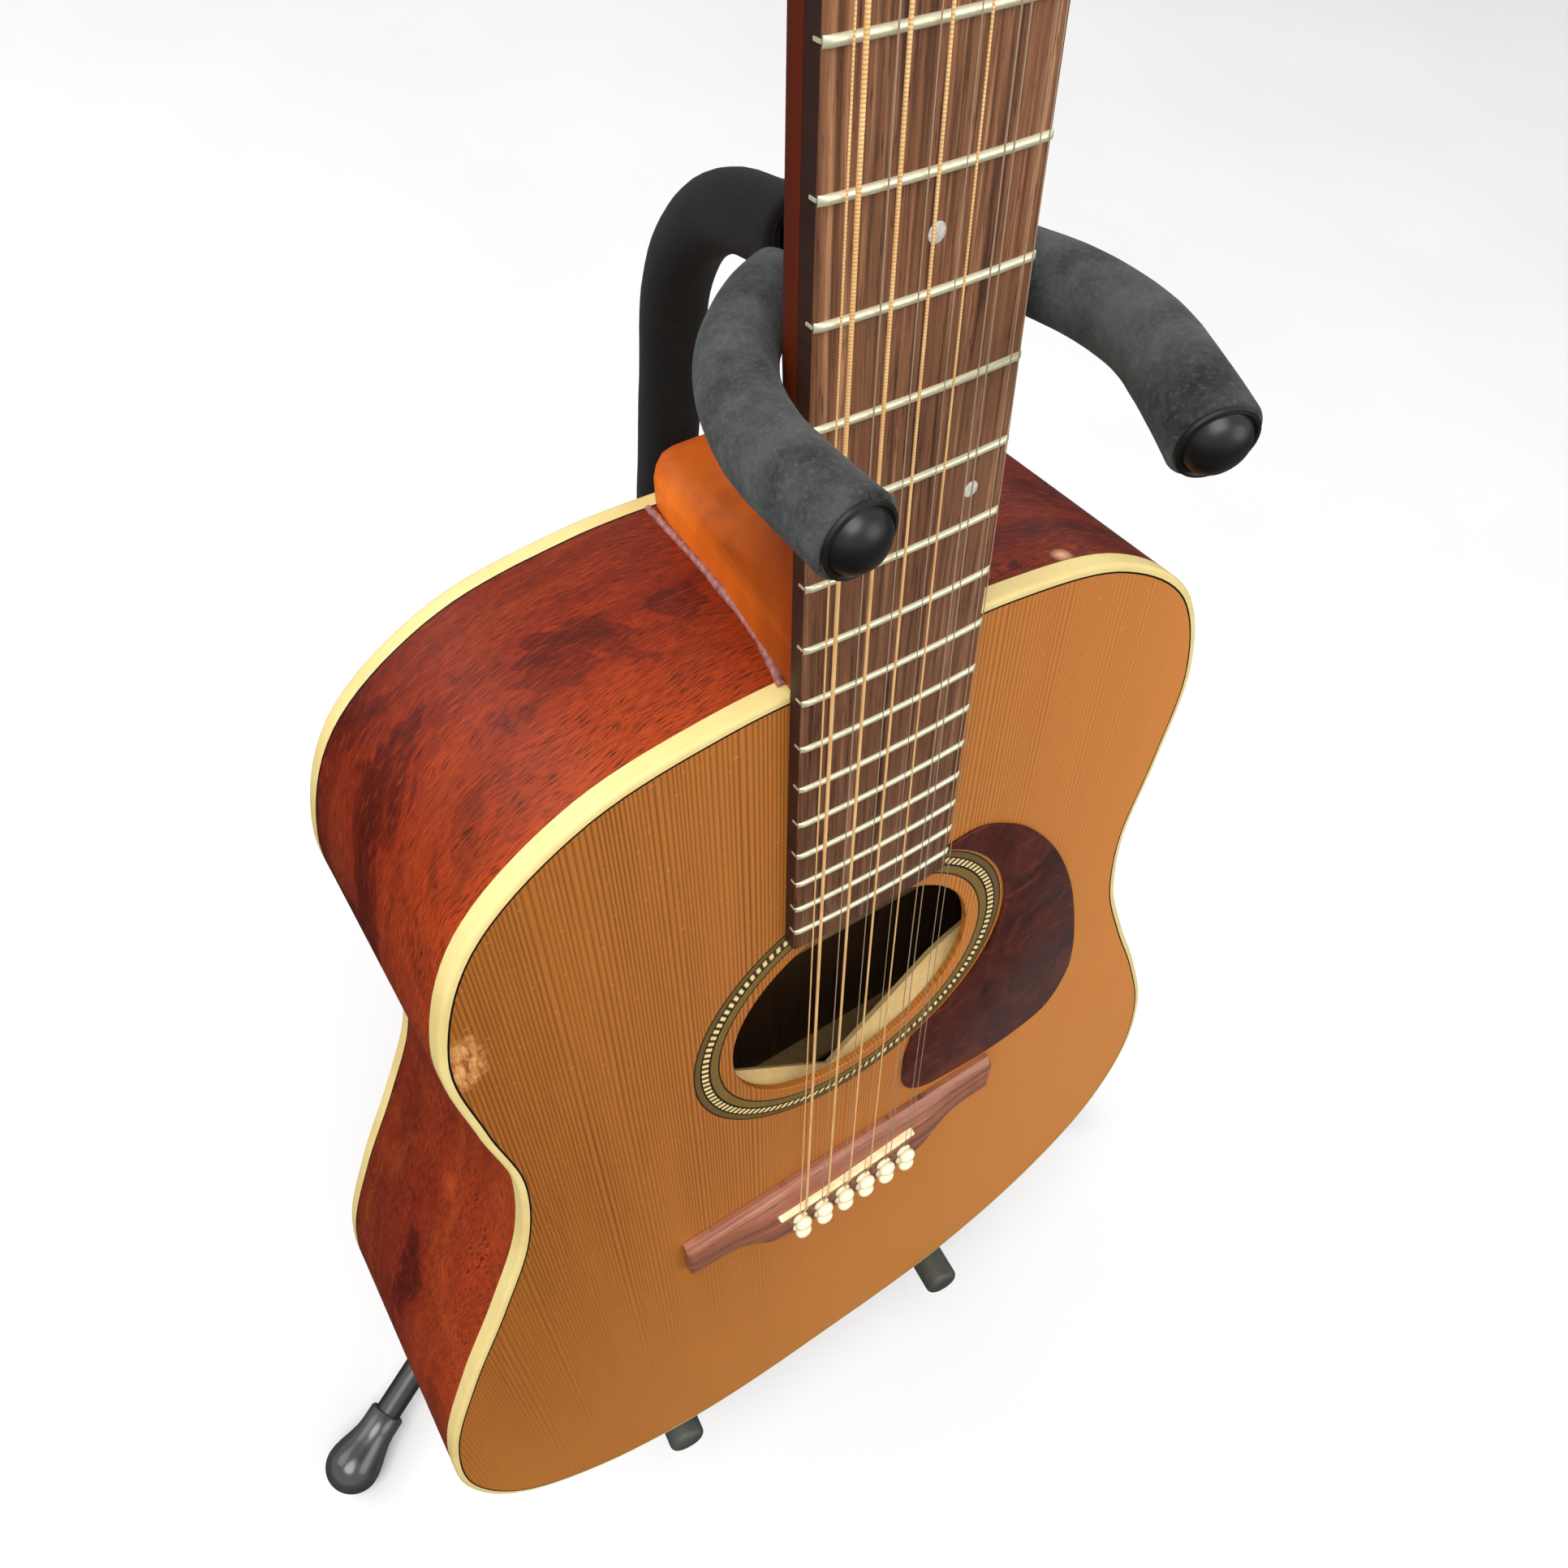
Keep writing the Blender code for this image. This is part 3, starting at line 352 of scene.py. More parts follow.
def rosewood(name, light, middle, dark, coat=0.0, low=0.45, high=0.62, lengthwise=True, specular=0.5,
             overlay=0.0):
    """Streaky brown wood with open pores; grain runs along local Y, or along X."""
    p = Paint(name, 0.5, coat=coat, coat_rough=0.2, specular=specular)
    x, y, z = p.split(p.coord)
    flow = p.coord if lengthwise else p.join(y, x, z)
    streak = p.noise((240.0, 5.0, 1.0), 5.0, 0.72, 0.3, flow)
    base = p.ramp(streak, (0.36, dark), (0.46, middle), (0.54, middle), (0.66, light))
    base = p.lay(base, p.noise((760.0, 11.0, 1.0), 3.0, 0.6, source=flow), dark, (0.5, 0.0), (0.62, 0.6))
    pore = p.noise((1900.0, 110.0, 1.0), 2.0, 0.6, source=flow)
    holes = p.ramp(pore, (0.60, 0.0), (0.70, 1.0))
    base = p.mix(p.times(holes, 0.75), base, faded(dark, 0.25))
    base = p.lay(base, p.noise((900.0, 24.0, 1.0), 3.0, 0.6, source=flow), light, (0.5, 0.0), (0.8, 0.35))
    # The board grows darker towards the body end; the overlay sets how much.
    if overlay:
        base = p.lay(base, p.linear(y, 4.0, 1.9), dark, (0.0, overlay), (1.0, 0.0))
    return p.done(base, (pore, low, high), (p.math("SUBTRACT", 1.0, holes), 0.35, 0.08))


def plastic(name, shade, second, rough=0.3, scale=60.0, coat=0.0, bump=0.04, specular=0.5):
    p = Paint(name, rough, coat=coat, coat_rough=0.08, specular=specular)
    cloud = p.noise(scale, 4.0, 0.6)
    base = p.lay(shade, cloud, second, (0.35, 0.0), (0.68, 1.0))
    return p.done(base, (cloud, rough * 0.8, rough * 1.15), (p.noise(scale * 14.0, 3.0, 0.6), bump, 0.1))


def tortoise():
    p = Paint("tortoise_guard", 0.24, coat=0.06, coat_rough=0.1, specular=0.2)
    cloud = p.noise((34.0, 20.0, 30.0), 5.0, 0.65, 1.4)
    base = p.ramp(cloud, (0.3, tone(36, 12, 8)), (0.5, tone(66, 25, 17)), (0.72, tone(86, 35, 27)))
    streak = p.noise((30.0, 78.0, 30.0), 4.0, 0.6, 1.8)
    base = p.lay(base, streak, tone(114, 43, 31), (0.56, 0.0), (0.68, 0.42))
    fleck = p.noise((170.0, 110.0, 100.0), 4.0, 0.7, 1.0)
    base = p.lay(base, fleck, tone(44, 15, 10), (0.5, 0.0), (0.66, 0.55))
    return p.done(base, (cloud, 0.2, 0.32), (p.noise(900.0, 2.0), 0.03, 0.05))


def rosette_mat():
    """Rings by radius round the sound hole, with a beaded rope in the middle."""
    p = Paint("rosette_rings", 0.42, coat=0.2, coat_rough=0.2, specular=0.3)
    x, y = p.split(p.coord)[:2]
    y = p.math("SUBTRACT", y, HOLE_V * MM)
    radius = p.math("SQRT", p.plus(p.times(x, x), p.times(y, y)))
    wide = ROSETTE[1] - ROSETTE[0]
    share = p.linear(radius, 1 / (wide * MM), -ROSETTE[0] / wide)
    dark, olive, brown, black = tone(38, 26, 8), tone(112, 88, 36), tone(96, 74, 32), tone(24, 16, 6)
    rings = p.ramp(share, (0.0, dark), (0.06, olive), (0.35, black), (0.43, olive), (0.68, black),
                   (0.74, brown), (0.94, dark), smooth="CONSTANT")
    wave = p.math("SINE", p.linear(p.math("ARCTAN2", y, x), 126.0, p.times(share, 9.0)))
    rope = p.ramp(p.linear(wave, 0.5, 0.5), (0.2, tone(58, 38, 14)), (0.5, tone(188, 162, 100)),
                  (0.9, tone(226, 206, 145)))
    inside = p.times(p.math("GREATER_THAN", share, 0.43), p.math("LESS_THAN", share, 0.68))
    fibre = p.noise((300.0, 300.0, 300.0))
    base = p.lay(p.mix(inside, rings, rope), fibre, tone(70, 54, 26), (0.45, 0.0), (0.75, 0.3))
    return p.done(base, (fibre, 0.36, 0.5), (p.times(wave, inside), 0.15, 0.1))


def metal(name, shade, rough, scale=300.0, bump=0.03, metallic=1.0):
    p = Paint(name, rough, metal=metallic)
    grime = p.noise(scale)
    base = p.lay(shade, grime, faded(shade, 0.62), (0.5, 0.0), (0.85, 0.5))
    return p.done(base, (grime, rough * 0.75, rough * 1.5), (grime, bump, 0.05))


def wound_string():
    """Bronze winding: fine coils along the string."""
    p = Paint("bronze_string", 0.36, metal=0.3)
    coil = p.math("SINE", p.times(p.split(p.coord)[1], 2 * math.pi / (0.7 * MM)))
    cloud = p.noise(90.0)
    base = p.ramp(cloud, (0.3, tone(240, 186, 120)), (0.7, tone(255, 214, 150)))
    # Painted shade in the grooves between the coils.
    base = p.lay(base, coil, tone(176, 116, 62), (0.0, 0.3), (0.5, 0.0))
    return p.done(base, (cloud, 0.32, 0.42), (coil, 0.3, 0.08))


def foam(name, shade, second, grain=900.0, sheen=0.1):
    """Closed-cell foam: matte, mottled with dust, with a fine open skin."""
    p = Paint(name, 0.92, specular=0.22, sheen=sheen)
    base = p.ramp(p.noise(38.0, 6.0, 0.68), (0.36, shade), (0.62, second))
    skin = p.noise(grain, 3.0, 0.7)
    base = p.lay(base, skin, faded(second, 1.8), (0.5, 0.0), (0.8, 0.4))
    base = p.lay(base, p.noise(330.0, 5.0, 0.8), tone(140, 138, 130), (0.69, 0.0), (0.75, 0.4))
    cell = p.node("ShaderNodeTexVoronoi")
    p.put(p.coord, cell.inputs["Vector"])
    cell.inputs["Scale"].default_value = grain * 1.3
    return p.done(base, (skin, 0.82, 0.98), (p.plus(skin, p.times(cell.outputs["Distance"], 0.6)), 0.4, 0.3))


def pale_wood(name, shade, second):
    p = Paint(name, 0.7)
    grain = p.noise((420.0, 12.0, 300.0), 4.0, 0.6)
    base = p.lay(shade, grain, second, (0.4, 0.0), (0.72, 0.7))
    base = p.lay(base, p.noise(22.0), faded(second, 0.8), (0.4, 0.0), (0.8, 0.4))
    return p.done(base, (grain, 0.62, 0.8), (grain, 0.15, 0.1))


def painted_steel():
    """Black powder coat with a faint orange peel and rubbed spots."""
    p = Paint("black_steel", 0.38, coat=0.15, coat_rough=0.2)
    rub = p.noise(60.0, 5.0, 0.7)
    base = p.lay(tone(26, 26, 27), rub, tone(58, 58, 58), (0.62, 0.0), (0.8, 0.6))
    return p.done(base, (rub, 0.3, 0.5), (p.noise(700.0, 2.0), 0.1, 0.1))


def pearl():
    p = Paint("pearl_dot", 0.25, coat=0.5, coat_rough=0.08)
    swirl = p.noise(420.0, 4.0, 0.6, 2.0)
    base = p.ramp(swirl, (0.3, tone(150, 148, 140)), (0.55, tone(196, 194, 184)), (0.8, tone(214, 206, 212)))
    return p.done(base, (swirl, 0.2, 0.4))


def floor_mat():
    p = Paint("studio_floor", 0.75)
    return p.done(p.lay((0.66, 0.66, 0.665), p.noise(3.0), (0.69, 0.69, 0.695), (0.3, 0.0), (0.7, 1.0)))


M = {
    "cedar": cedar(),
    "side": side_wood("cherry_side", along="grain"),
    "back": side_wood("cherry_back"),
    "neck": neck_wood(),
    "board": rosewood("rosewood_board", tone(178, 130, 92), tone(120, 78, 52), tone(56, 30, 19),
                      specular=0.25, overlay=0.55),
    "board_edge": rosewood("rosewood_edge", tone(70, 34, 20), tone(50, 22, 12), tone(32, 13, 8)),
    "bridge": rosewood("rosewood_bridge", tone(176, 116, 86), tone(142, 84, 58), tone(96, 54, 38),
                       coat=0.15, low=0.34, high=0.5, lengthwise=False),
    "veneer": rosewood("rosewood_veneer", tone(110, 72, 50), tone(72, 42, 28), tone(42, 24, 16),
                       coat=0.15, low=0.32, high=0.46, specular=0.35),
    "binding": plastic("cream_binding", tone(217, 198, 134), tone(206, 183, 116), 0.36, 30.0, coat=0.08,
                       specular=0.35),
    "purfling": plastic("black_purfling", tone(10, 8, 6), tone(18, 13, 10), 0.5, 200.0, specular=0.2),
    "bone": plastic("bone", tone(236, 222, 178), tone(214, 194, 144), 0.35, 120.0, coat=0.1),
    "pin": plastic("ivory_pin", tone(244, 238, 206), tone(228, 220, 180), 0.22, 160.0, coat=0.4),
    "guard": tortoise(),
    "rosette": rosette_mat(),
    "nickel": metal("nickel_fret", tone(226, 224, 192), 0.34, 200.0, 0.01, metallic=0.6),
    "chrome": metal("chrome", tone(225, 226, 228), 0.1, 90.0, 0.01),
    "steel_string": metal("steel_string", tone(172, 146, 120), 0.34, metallic=0.35),
    "bronze": wound_string(),
    "foam": foam("yoke_foam", tone(28, 30, 31), tone(72, 74, 74), sheen=0.05),
    "mast_foam": foam("mast_foam", tone(14, 13, 11), tone(21, 20, 17), 700.0, 0.03),
    "cap": plastic("gloss_cap", tone(15, 15, 14), tone(20, 20, 18), 0.4, 80.0, coat=0.04, bump=0.05,
                   specular=0.38),
    "black": plastic("moulded_black", tone(22, 22, 22), tone(34, 34, 34), 0.34, 50.0, coat=0.1, bump=0.08),
    "rubber": plastic("grey_rubber", tone(50, 52, 49), tone(66, 68, 64), 0.55, 40.0, bump=0.12),
    "boot": plastic("boot_rubber", tone(44, 45, 45), tone(60, 61, 61), 0.26, 40.0, coat=0.35, bump=0.06),
    "steel": painted_steel(),
    "spruce": pale_wood("pale_spruce", tone(240, 206, 140), tone(224, 184, 116)),
    # Painted shade: the inside wood is given dark tones for the deep shade inside the body.
    "inner": pale_wood("inner_wood_painted_shade", tone(120, 88, 56), tone(96, 68, 42)),
    "pearl": pearl(),
    "glue": plastic("joint_line", tone(164, 108, 102), tone(104, 54, 50), 0.5, 420.0, bump=0.1),
    "zinc": metal("zinc_bolt", tone(170, 172, 174), 0.3),
}


# ---------------------------------------------------------------- mesh tools

def link(obj):
    bpy.context.scene.collection.objects.link(obj)
    return obj


def raw_object(name, verts, faces):
    """A linked object from points in millimetres."""
    mesh = bpy.data.meshes.new(name)
    mesh.from_pydata([tuple(float(c) * MM for c in v) for v in verts], [],
                     [tuple(int(i) for i in f) for f in faces])
    mesh.update()
    return link(bpy.data.objects.new(name, mesh))


def build(name, data, mats, smooth=40.0, body="guitar", at=GUITAR, face_mats=None, hide=None, slot=None,
          bevel=None, grain=None):
    """One piece from (verts, faces) in millimetres in the frame `at`, riding on a CAD body."""
    obj = raw_object(name, *data)
    mesh = obj.data
    if face_mats is not None:
        mesh.polygons.foreach_set("material_index", np.array(face_mats, np.int32))
    if grain is not None:
        layer = mesh.attributes.new("grain", "FLOAT_VECTOR", "POINT")
        layer.data.foreach_set("vector", (np.array(grain, np.float32) * MM).ravel())
    work = bmesh.new()
    work.from_mesh(mesh)
    bmesh.ops.recalc_face_normals(work, faces=work.faces)
    work.to_mesh(mesh)
    work.free()
    for mat in mats if isinstance(mats, list) else [mats]:
        mesh.materials.append(M[mat])
    obj.matrix_world = at
    if bevel:
        edge = obj.modifiers.new("edge", "BEVEL")
        edge.width = bevel * MM
        edge.segments = 3
        edge.limit_method = "ANGLE"
        edge.angle_limit = math.radians(30.0)
        edge.use_clamp_overlap = True
        settle(obj)
    smooth_faces(obj, smooth)
    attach(obj, body)
    if hide:
        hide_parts(hide)
    return obj


def smooth_faces(obj, degrees):
    """Shades the mesh smooth, with sharp edges where it turns by more than the angle."""
    obj.data.shade_smooth()
    obj.data.set_sharp_from_angle(angle=math.radians(degrees))


def settle(obj):
    """Applies the modifiers to the mesh."""
    bpy.context.view_layer.update()
    graph = bpy.context.evaluated_depsgraph_get()
    done = bpy.data.meshes.new_from_object(obj.evaluated_get(graph))
    obj.modifiers.clear()
    obj.data = done


def cut(target, cutter):
    """Takes the cutter's volume out of the target and deletes the cutter."""
    step = target.modifiers.new("cut", "BOOLEAN")
    step.operation = "DIFFERENCE"
    step.solver = "EXACT"
    step.object = cutter
    settle(target)
    bpy.data.objects.remove(cutter)
    smooth_faces(target, 40.0)


def circle(radius, count, centre=(0.0, 0.0)):
    at = np.arange(count) * 2 * math.pi / count
    return np.column_stack([centre[0] + radius * np.cos(at), centre[1] + radius * np.sin(at)])


def quarter(steps, first=0):
    """Cosine and sine at even steps over a quarter turn."""
    turns = [math.pi / 2 * k / steps for k in range(first, steps + 1)]
    return [(math.cos(a), math.sin(a)) for a in turns]


def bent(value, power):
    """A power of the value that keeps its sign, at most 1 from zero."""
    return math.copysign(min(abs(value) ** power, 1.0), value)


def oval(wide, tall, power, count):
    """A ring between a box (power near 0) and an ellipse (power 1)."""
    turns = [2 * math.pi * k / count for k in range(count)]
    return [(wide * bent(math.cos(a), power), tall * bent(math.sin(a), power)) for a in turns]


def clamp(value, low=0.0, high=1.0):
    return min(max(value, low), high)


def joined_rows(a, b, n):
    """Faces between two rows of n points that start at a and at b."""
    return [(a + i, a + (i + 1) % n, b + (i + 1) % n, b + i) for i in range(n)]


def loft(sections, closed=False, caps=True):
    n = len(sections[0])
    verts = [tuple(p) for section in sections for p in section]
    faces = []
    count = len(sections)
    for s in range(count if closed else count - 1):
        faces += joined_rows(s * n, (s + 1) % count * n, n)
    if not closed and caps:
        faces += [tuple(range(n)), tuple(range((count - 1) * n, count * n))]
    return verts, faces


def level(loop, height):
    """A flat loop lifted to a height, or to a height that depends on y."""
    height_of = height if callable(height) else (lambda y: height)
    return [(x, y, height_of(y)) for x, y in loop]


def prism(loop, low, high):
    return loft([level(loop, low), level(loop, high)])


def lathe_data(profile, segs):
    verts, rows = [], []
    for radius, height in profile:
        if radius == 0.0:
            rows.append([len(verts)] * segs)
            verts.append((0.0, 0.0, height))
        else:
            rows.append(list(range(len(verts), len(verts) + segs)))
            verts += [(x, y, height) for x, y in circle(radius, segs)]
    pairs = list(zip(rows, rows[1:]))
    if profile[0][0] != 0.0:
        pairs.append((rows[-1], rows[0]))
    faces = []
    for low, high in pairs:
        for i in range(segs):
            j = (i + 1) % segs
            corner = list(dict.fromkeys((low[i], low[j], high[j], high[i])))
            if len(corner) > 2:
                faces.append(tuple(corner))
    return verts, faces


def lathe(name, profile, segs, mat, body, at, **more):
    return build(name, lathe_data(profile, segs), mat, body=body, at=at, **more)


def round_profile(profile, radius=0.8, steps=3):
    """Turned profile with its inner corners rounded."""
    out = [profile[0]]
    for a, b, c in zip(profile, profile[1:], profile[2:]):
        va, vb, vc = Vector(a), Vector(b), Vector(c)
        r = min(radius, (vb - va).length * 0.45, (vc - vb).length * 0.45)
        start, end = vb + (va - vb).normalized() * r, vb + (vc - vb).normalized() * r
        for k in range(steps + 1):
            t = k / steps
            point = start * (1 - t) ** 2 + vb * 2 * t * (1 - t) + end * t * t
            out.append((max(point.x, 0.0), point.y))
    out.append(profile[-1])
    return out


def sweep_rings(path, radii, segs, lump=0.0, seed=0.0):
    """Round sections carried along a path without twist; lump adds a soft unevenness."""
    pts = [Vector(p) for p in path]
    ahead, behind = pts[1:] + pts[-1:], pts[:1] + pts[:-1]
    tangents = [(a - b).normalized() for a, b in zip(ahead, behind)]
    side = tangents[0].orthogonal().normalized()
    rings = []
    for p, t, radius in zip(pts, tangents, radii):
        side = (side - t * side.dot(t)).normalized()
        up = t.cross(side)
        section = []
        for x, y in circle(1.0, segs):
            direction = side * x + up * y
            r = radius
            if lump:
                r += lump * noise.noise((p + direction * radius) * 0.055 + Vector((seed, 0, 0)))
                r += 0.3 * lump * noise.noise((p + direction * radius) * 0.21 + Vector((0, seed, 0)))
            section.append(p + direction * r)
        rings.append(section)
    return rings


def bar(path, radius, segs):
    return loft(sweep_rings(path, [radius] * len(path), segs))


def smooth_path(points, spacing):
    """Resamples a polyline through a smooth curve at about the given spacing."""
    pts = [Vector(p) for p in points]
    ends = [pts[0] * 2 - pts[1]] + pts + [pts[-1] * 2 - pts[-2]]
    dense = []
    for i in range(1, len(ends) - 2):
        p0, p1, p2, p3 = ends[i - 1:i + 3]
        steps = max(2, int((p2 - p1).length / spacing))
        for k in range(steps):
            t = k / steps
            dense.append(0.5 * (
                p1 * 2 + (p2 - p0) * t + (p0 * 2 - p1 * 5 + p2 * 4 - p3) * t * t
                + (p1 * 3 - p0 - p2 * 3 + p3) * t**3
            ))
    dense.append(pts[-1])
    return dense


def rounded_tube(name, path, radius, segs, mat, body, at, bore, end_round=1.6, lump=0.0, seed=0.0, flare=0.0,
                 **more):
    """A sleeve or tube with rounded rims, open through its bore."""
    pts = [Vector(p) for p in path]
    first, last = (pts[1] - pts[0]).normalized(), (pts[-1] - pts[-2]).normalized()
    clear, near = end_round * 1.05, 20.0
    middle = [p for p in pts if (p - pts[0]).dot(first) > clear or (p - pts[0]).length > near]
    middle = [p for p in middle if (pts[-1] - p).dot(last) > clear or (pts[-1] - p).length > near]
    rim = quarter(4)[:4]
    line = [pts[0] + first * end_round * (1 - c) for c, s in rim]
    radii = [radius - end_round * (1 - s) for c, s in rim]
    line += [pts[0] + first * end_round] + middle + [pts[-1] - last * end_round]
    count = len(middle) + 2
    radii += [radius + flare * (k / (count - 1)) ** 6 for k in range(count)]
    line += [pts[-1] - last * end_round * (1 - c) for c, s in rim[::-1]]
    radii += [radius + flare - end_round * (1 - s) for c, s in rim[::-1]]
    outer = sweep_rings(line, radii, segs, lump, seed)
    inner = sweep_rings(line, [bore] * len(line), segs)
    return build(name, loft(outer + inner[::-1], closed=True), mat, 50.0, body, at, **more)


def merge(parts):
    """Joins (verts, faces) pairs into one, keeping them separate shells."""
    verts, faces = [], []
    for v, f in parts:
        base = len(verts)
        verts += v
        faces += [tuple(i + base for i in face) for face in f]
    return verts, faces


def fret_at(number):
    return -SCALE * (1 - 2 ** (-number / 12))


def board_half(v):
    return (NUT_WIDTH - WIDTH_GAIN * v) / 2


def board_top(u):
    return BOARD_TOP + 0.25 - u * u / 900.0


def over_back(offset):
    """Height above the back's edge, as a function of the place along the body."""
    front, rear = HALF_OUTLINE[0][1], HALF_OUTLINE[-1][1]

    def height(v):
        return offset - (DEPTH_NECK + (DEPTH_TAIL - DEPTH_NECK) * (front - v) / (front - rear))
    return height


back_height = over_back(0.0)


def spline_through(points, count):
    """A mirrored smooth curve through the points, resampled to even steps."""
    pts = [Vector((x, y)) for x, y in points]
    mirrored = [Vector((-pts[1].x, pts[1].y))] + pts + [Vector((-pts[-2].x, pts[-2].y))]
    dense = []
    for i in range(1, len(mirrored) - 2):
        p0, p1, p2, p3 = mirrored[i - 1:i + 3]
        h0, h1, h2 = (p1 - p0).length, (p2 - p1).length, (p3 - p2).length
        m1 = ((p1 - p0) / h0 * h1 + (p2 - p1) / h1 * h0) / (h0 + h1) * h1
        m2 = ((p2 - p1) / h1 * h2 + (p3 - p2) / h2 * h1) / (h1 + h2) * h1
        for k in range(24):
            t = k / 24
            dense.append(p1 * (2 * t**3 - 3 * t**2 + 1) + m1 * (t**3 - 2 * t**2 + t)
                         + p2 * (3 * t**2 - 2 * t**3) + m2 * (t**3 - t**2))
    dense.append(mirrored[-2])
    xy = np.array([tuple(p) for p in dense])
    run = np.concatenate([[0.0], np.cumsum(np.hypot(*np.diff(xy, axis=0).T))])
    at = np.linspace(0.0, run[-1], count + 1)
    return np.column_stack([np.interp(at, run, xy[:, 0]), np.interp(at, run, xy[:, 1])])


def inset(loop, distance):
    """The loop moved inwards by a distance."""
    before = np.roll(loop, 1, axis=0)
    after = np.roll(loop, -1, axis=0)
    tangent = (after - before) / np.linalg.norm(after - before, axis=1)[:, None]
    return loop + np.column_stack([-tangent[:, 1], tangent[:, 0]]) * distance


HALF = spline_through(HALF_OUTLINE, OUTLINE_STEPS)
OUTLINE = np.vstack([np.column_stack([-HALF[:, 0], HALF[:, 1]]), HALF[-2:0:-1]])


# ---------------------------------------------------------------- guitar body

def hoop(pairs):
    """Closed band round the body from pairs of inset and height."""
    return loft([level(inset(OUTLINE, d), height) for d, height in pairs], closed=True)


def make_top():
    loop = inset(OUTLINE, TOP_THICK + 0.05)
    facing = np.arctan2(loop[:, 1] - HOLE_V, loop[:, 0])

    def ring(radius):
        return np.column_stack([radius * np.cos(facing), HOLE_V + radius * np.sin(facing)])

    r_in, r_out = ROSETTE
    stack = [level(loop, -TOP_THICK), level(loop, 0.0)]
    for share in (0.35, 0.7):
        stack.append(level(loop * (1 - share) + ring(r_out) * share, 0.0))
    for radius, height in ((r_out, 0.0), (r_out, -1.0), (r_in, -1.0), (r_in, 0.0), (HOLE_R + 0.5, 0.0),
                           (HOLE_R, -0.4), (HOLE_R, -2.7), (HOLE_R + 0.4, -TOP_THICK)):
        stack.append(level(ring(radius), height))
    data = loft(stack, closed=True)
    under = [1 if k // len(loop) == len(stack) - 1 else 0 for k in range(len(data[1]))]
    build("top_soundboard", data, ["cedar", "spruce"], 35.0, face_mats=under, hide="soundboard", slot="cedar")
    corners = ((r_out - 0.05, -0.95), (r_out - 0.05, 0.03), (r_in + 0.05, 0.03), (r_in + 0.05, -0.95))
    rings = [level(circle(radius, 240, (0, HOLE_V)), height) for radius, height in corners]
    build("rosette_inlay", loft(rings, closed=True), "rosette", hide="rosette", slot="inlay")


def make_edges():
    edge = [(0.0, -EDGE_DEEP), (0.0, -1.4), (0.12, -0.8), (0.45, -0.3), (0.95, -0.05), (1.4, 0.0), (2.4, 0.0),
            (2.4, -EDGE_DEEP)]
    build("binding_top", hoop(edge), "binding", 50.0, hide="top_binding", slot="ivory_binding")
    line = [(2.42, -1.6), (2.42, 0.01), (3.03, 0.01), (3.03, -1.6)]
    build("purfling_top", hoop(line), "purfling")
    build("binding_back", hoop([(d, over_back(-w)) for d, w in edge]), "binding", 50.0,
          hide="back_binding", slot="ivory_binding")
    line = [(d, over_back(w)) for d, w in ((0.0, 5.95), (0.0, 6.55), (0.6, 6.55), (0.6, 5.95))]
    build("purfling_back", hoop(line), "purfling")


def make_sides():
    def between(share):
        """Height at a share of the way from the top binding to the back binding."""
        begin = -EDGE_DEEP - 0.02
        return lambda v: begin + (back_height(v) - begin + EDGE_DEEP) * share

    heights = [between(share) for share in np.linspace(0.0, 1.0, 9)]
    data = hoop([(0.05, h) for h in heights] + [(2.5, h) for h in heights[::-1]])
    run = np.concatenate([[0.0], np.cumsum(np.linalg.norm(np.diff(OUTLINE, axis=0), axis=1))])
    n = len(OUTLINE)
    grain = [(run[i % n], vert[2], 0.0) for i, vert in enumerate(data[0])]
    inner = [0 if k // n < 8 else 1 for k in range(len(data[1]))]
    build("side_wall", data, ["side", "inner"], face_mats=inner, hide="sides", slot="cherry", grain=grain)


def make_back():
    loop = inset(OUTLINE, 2.45)
    centre = np.array([0.0, ARCH_V])
    n = len(loop)
    rows = [level(loop, over_back(BACK_THICK)), level(loop, back_height)]
    for share in (0.94, 0.88, 0.79, 0.7, 0.6, 0.5, 0.4, 0.3, 0.2, 0.12):
        rows.append(level(centre + (loop - centre) * share, over_back(-ARCH_RISE * (1 - share**2) ** 1.2)))
    outer = len(rows)
    for share in (0.12, 0.5, 0.88):
        rows.append(level(centre + (loop - centre) * share, over_back(BACK_THICK)))
    verts = [p for row in rows for p in row]
    faces = [face for r in range(outer - 1) for face in joined_rows(r * n, r * n + n, n)]
    faces.append(tuple(range((outer - 1) * n, outer * n)))
    flags = [0] * len(faces)
    base = outer * n
    for a, b in ((base, base + n), (base + n, base + 2 * n), (base + 2 * n, 0)):
        faces += joined_rows(a, b, n)
    faces.append(tuple(range(base, base + n)))
    flags += [1] * (len(faces) - len(flags))
    build("back_panel", (verts, faces), ["back", "inner"], 30.0, face_mats=flags, hide="back_plate",
          slot="cherry")
    strip = []
    for v in np.linspace(-366.0, -878.0, 40):
        share = abs(v - ARCH_V) / (ARCH_SPANS[0] if v > ARCH_V else ARCH_SPANS[1])
        w = back_height(v) - ARCH_RISE * max(1 - min(share, 1.0) ** 2, 0.0) ** 1.2 - 0.3
        strip.append([(-3.2, v, w + 1.0), (3.2, v, w + 1.0), (3.2, v, w), (-3.2, v, w)])
    build("back_strip", loft(strip), "binding", 30.0)


def make_back_braces():
    side = HALF[np.argsort(HALF[:, 1])]
    for number, v in enumerate((-415.0, -500.0, -650.0, -790.0)):
        half = float(np.interp(v, side[:, 1], side[:, 0])) - 9.0
        low = over_back(2.6)(v)
        rows = []
        for share in np.linspace(-1.0, 1.0, 25):
            tall = 14.0 * (1 - max(abs(share) - 0.8, 0.0) * 3.6)
            u = share * half
            rows.append([(u, v + y, low + z) for y, z in (
                (-4.5, 0.0), (4.5, 0.0), (4.5, tall * 0.55), (2.4, tall), (-2.4, tall), (-4.5, tall * 0.55))])
        build(f"back_brace_{number + 1}", loft(rows), "spruce", 30.0, bevel=0.5)


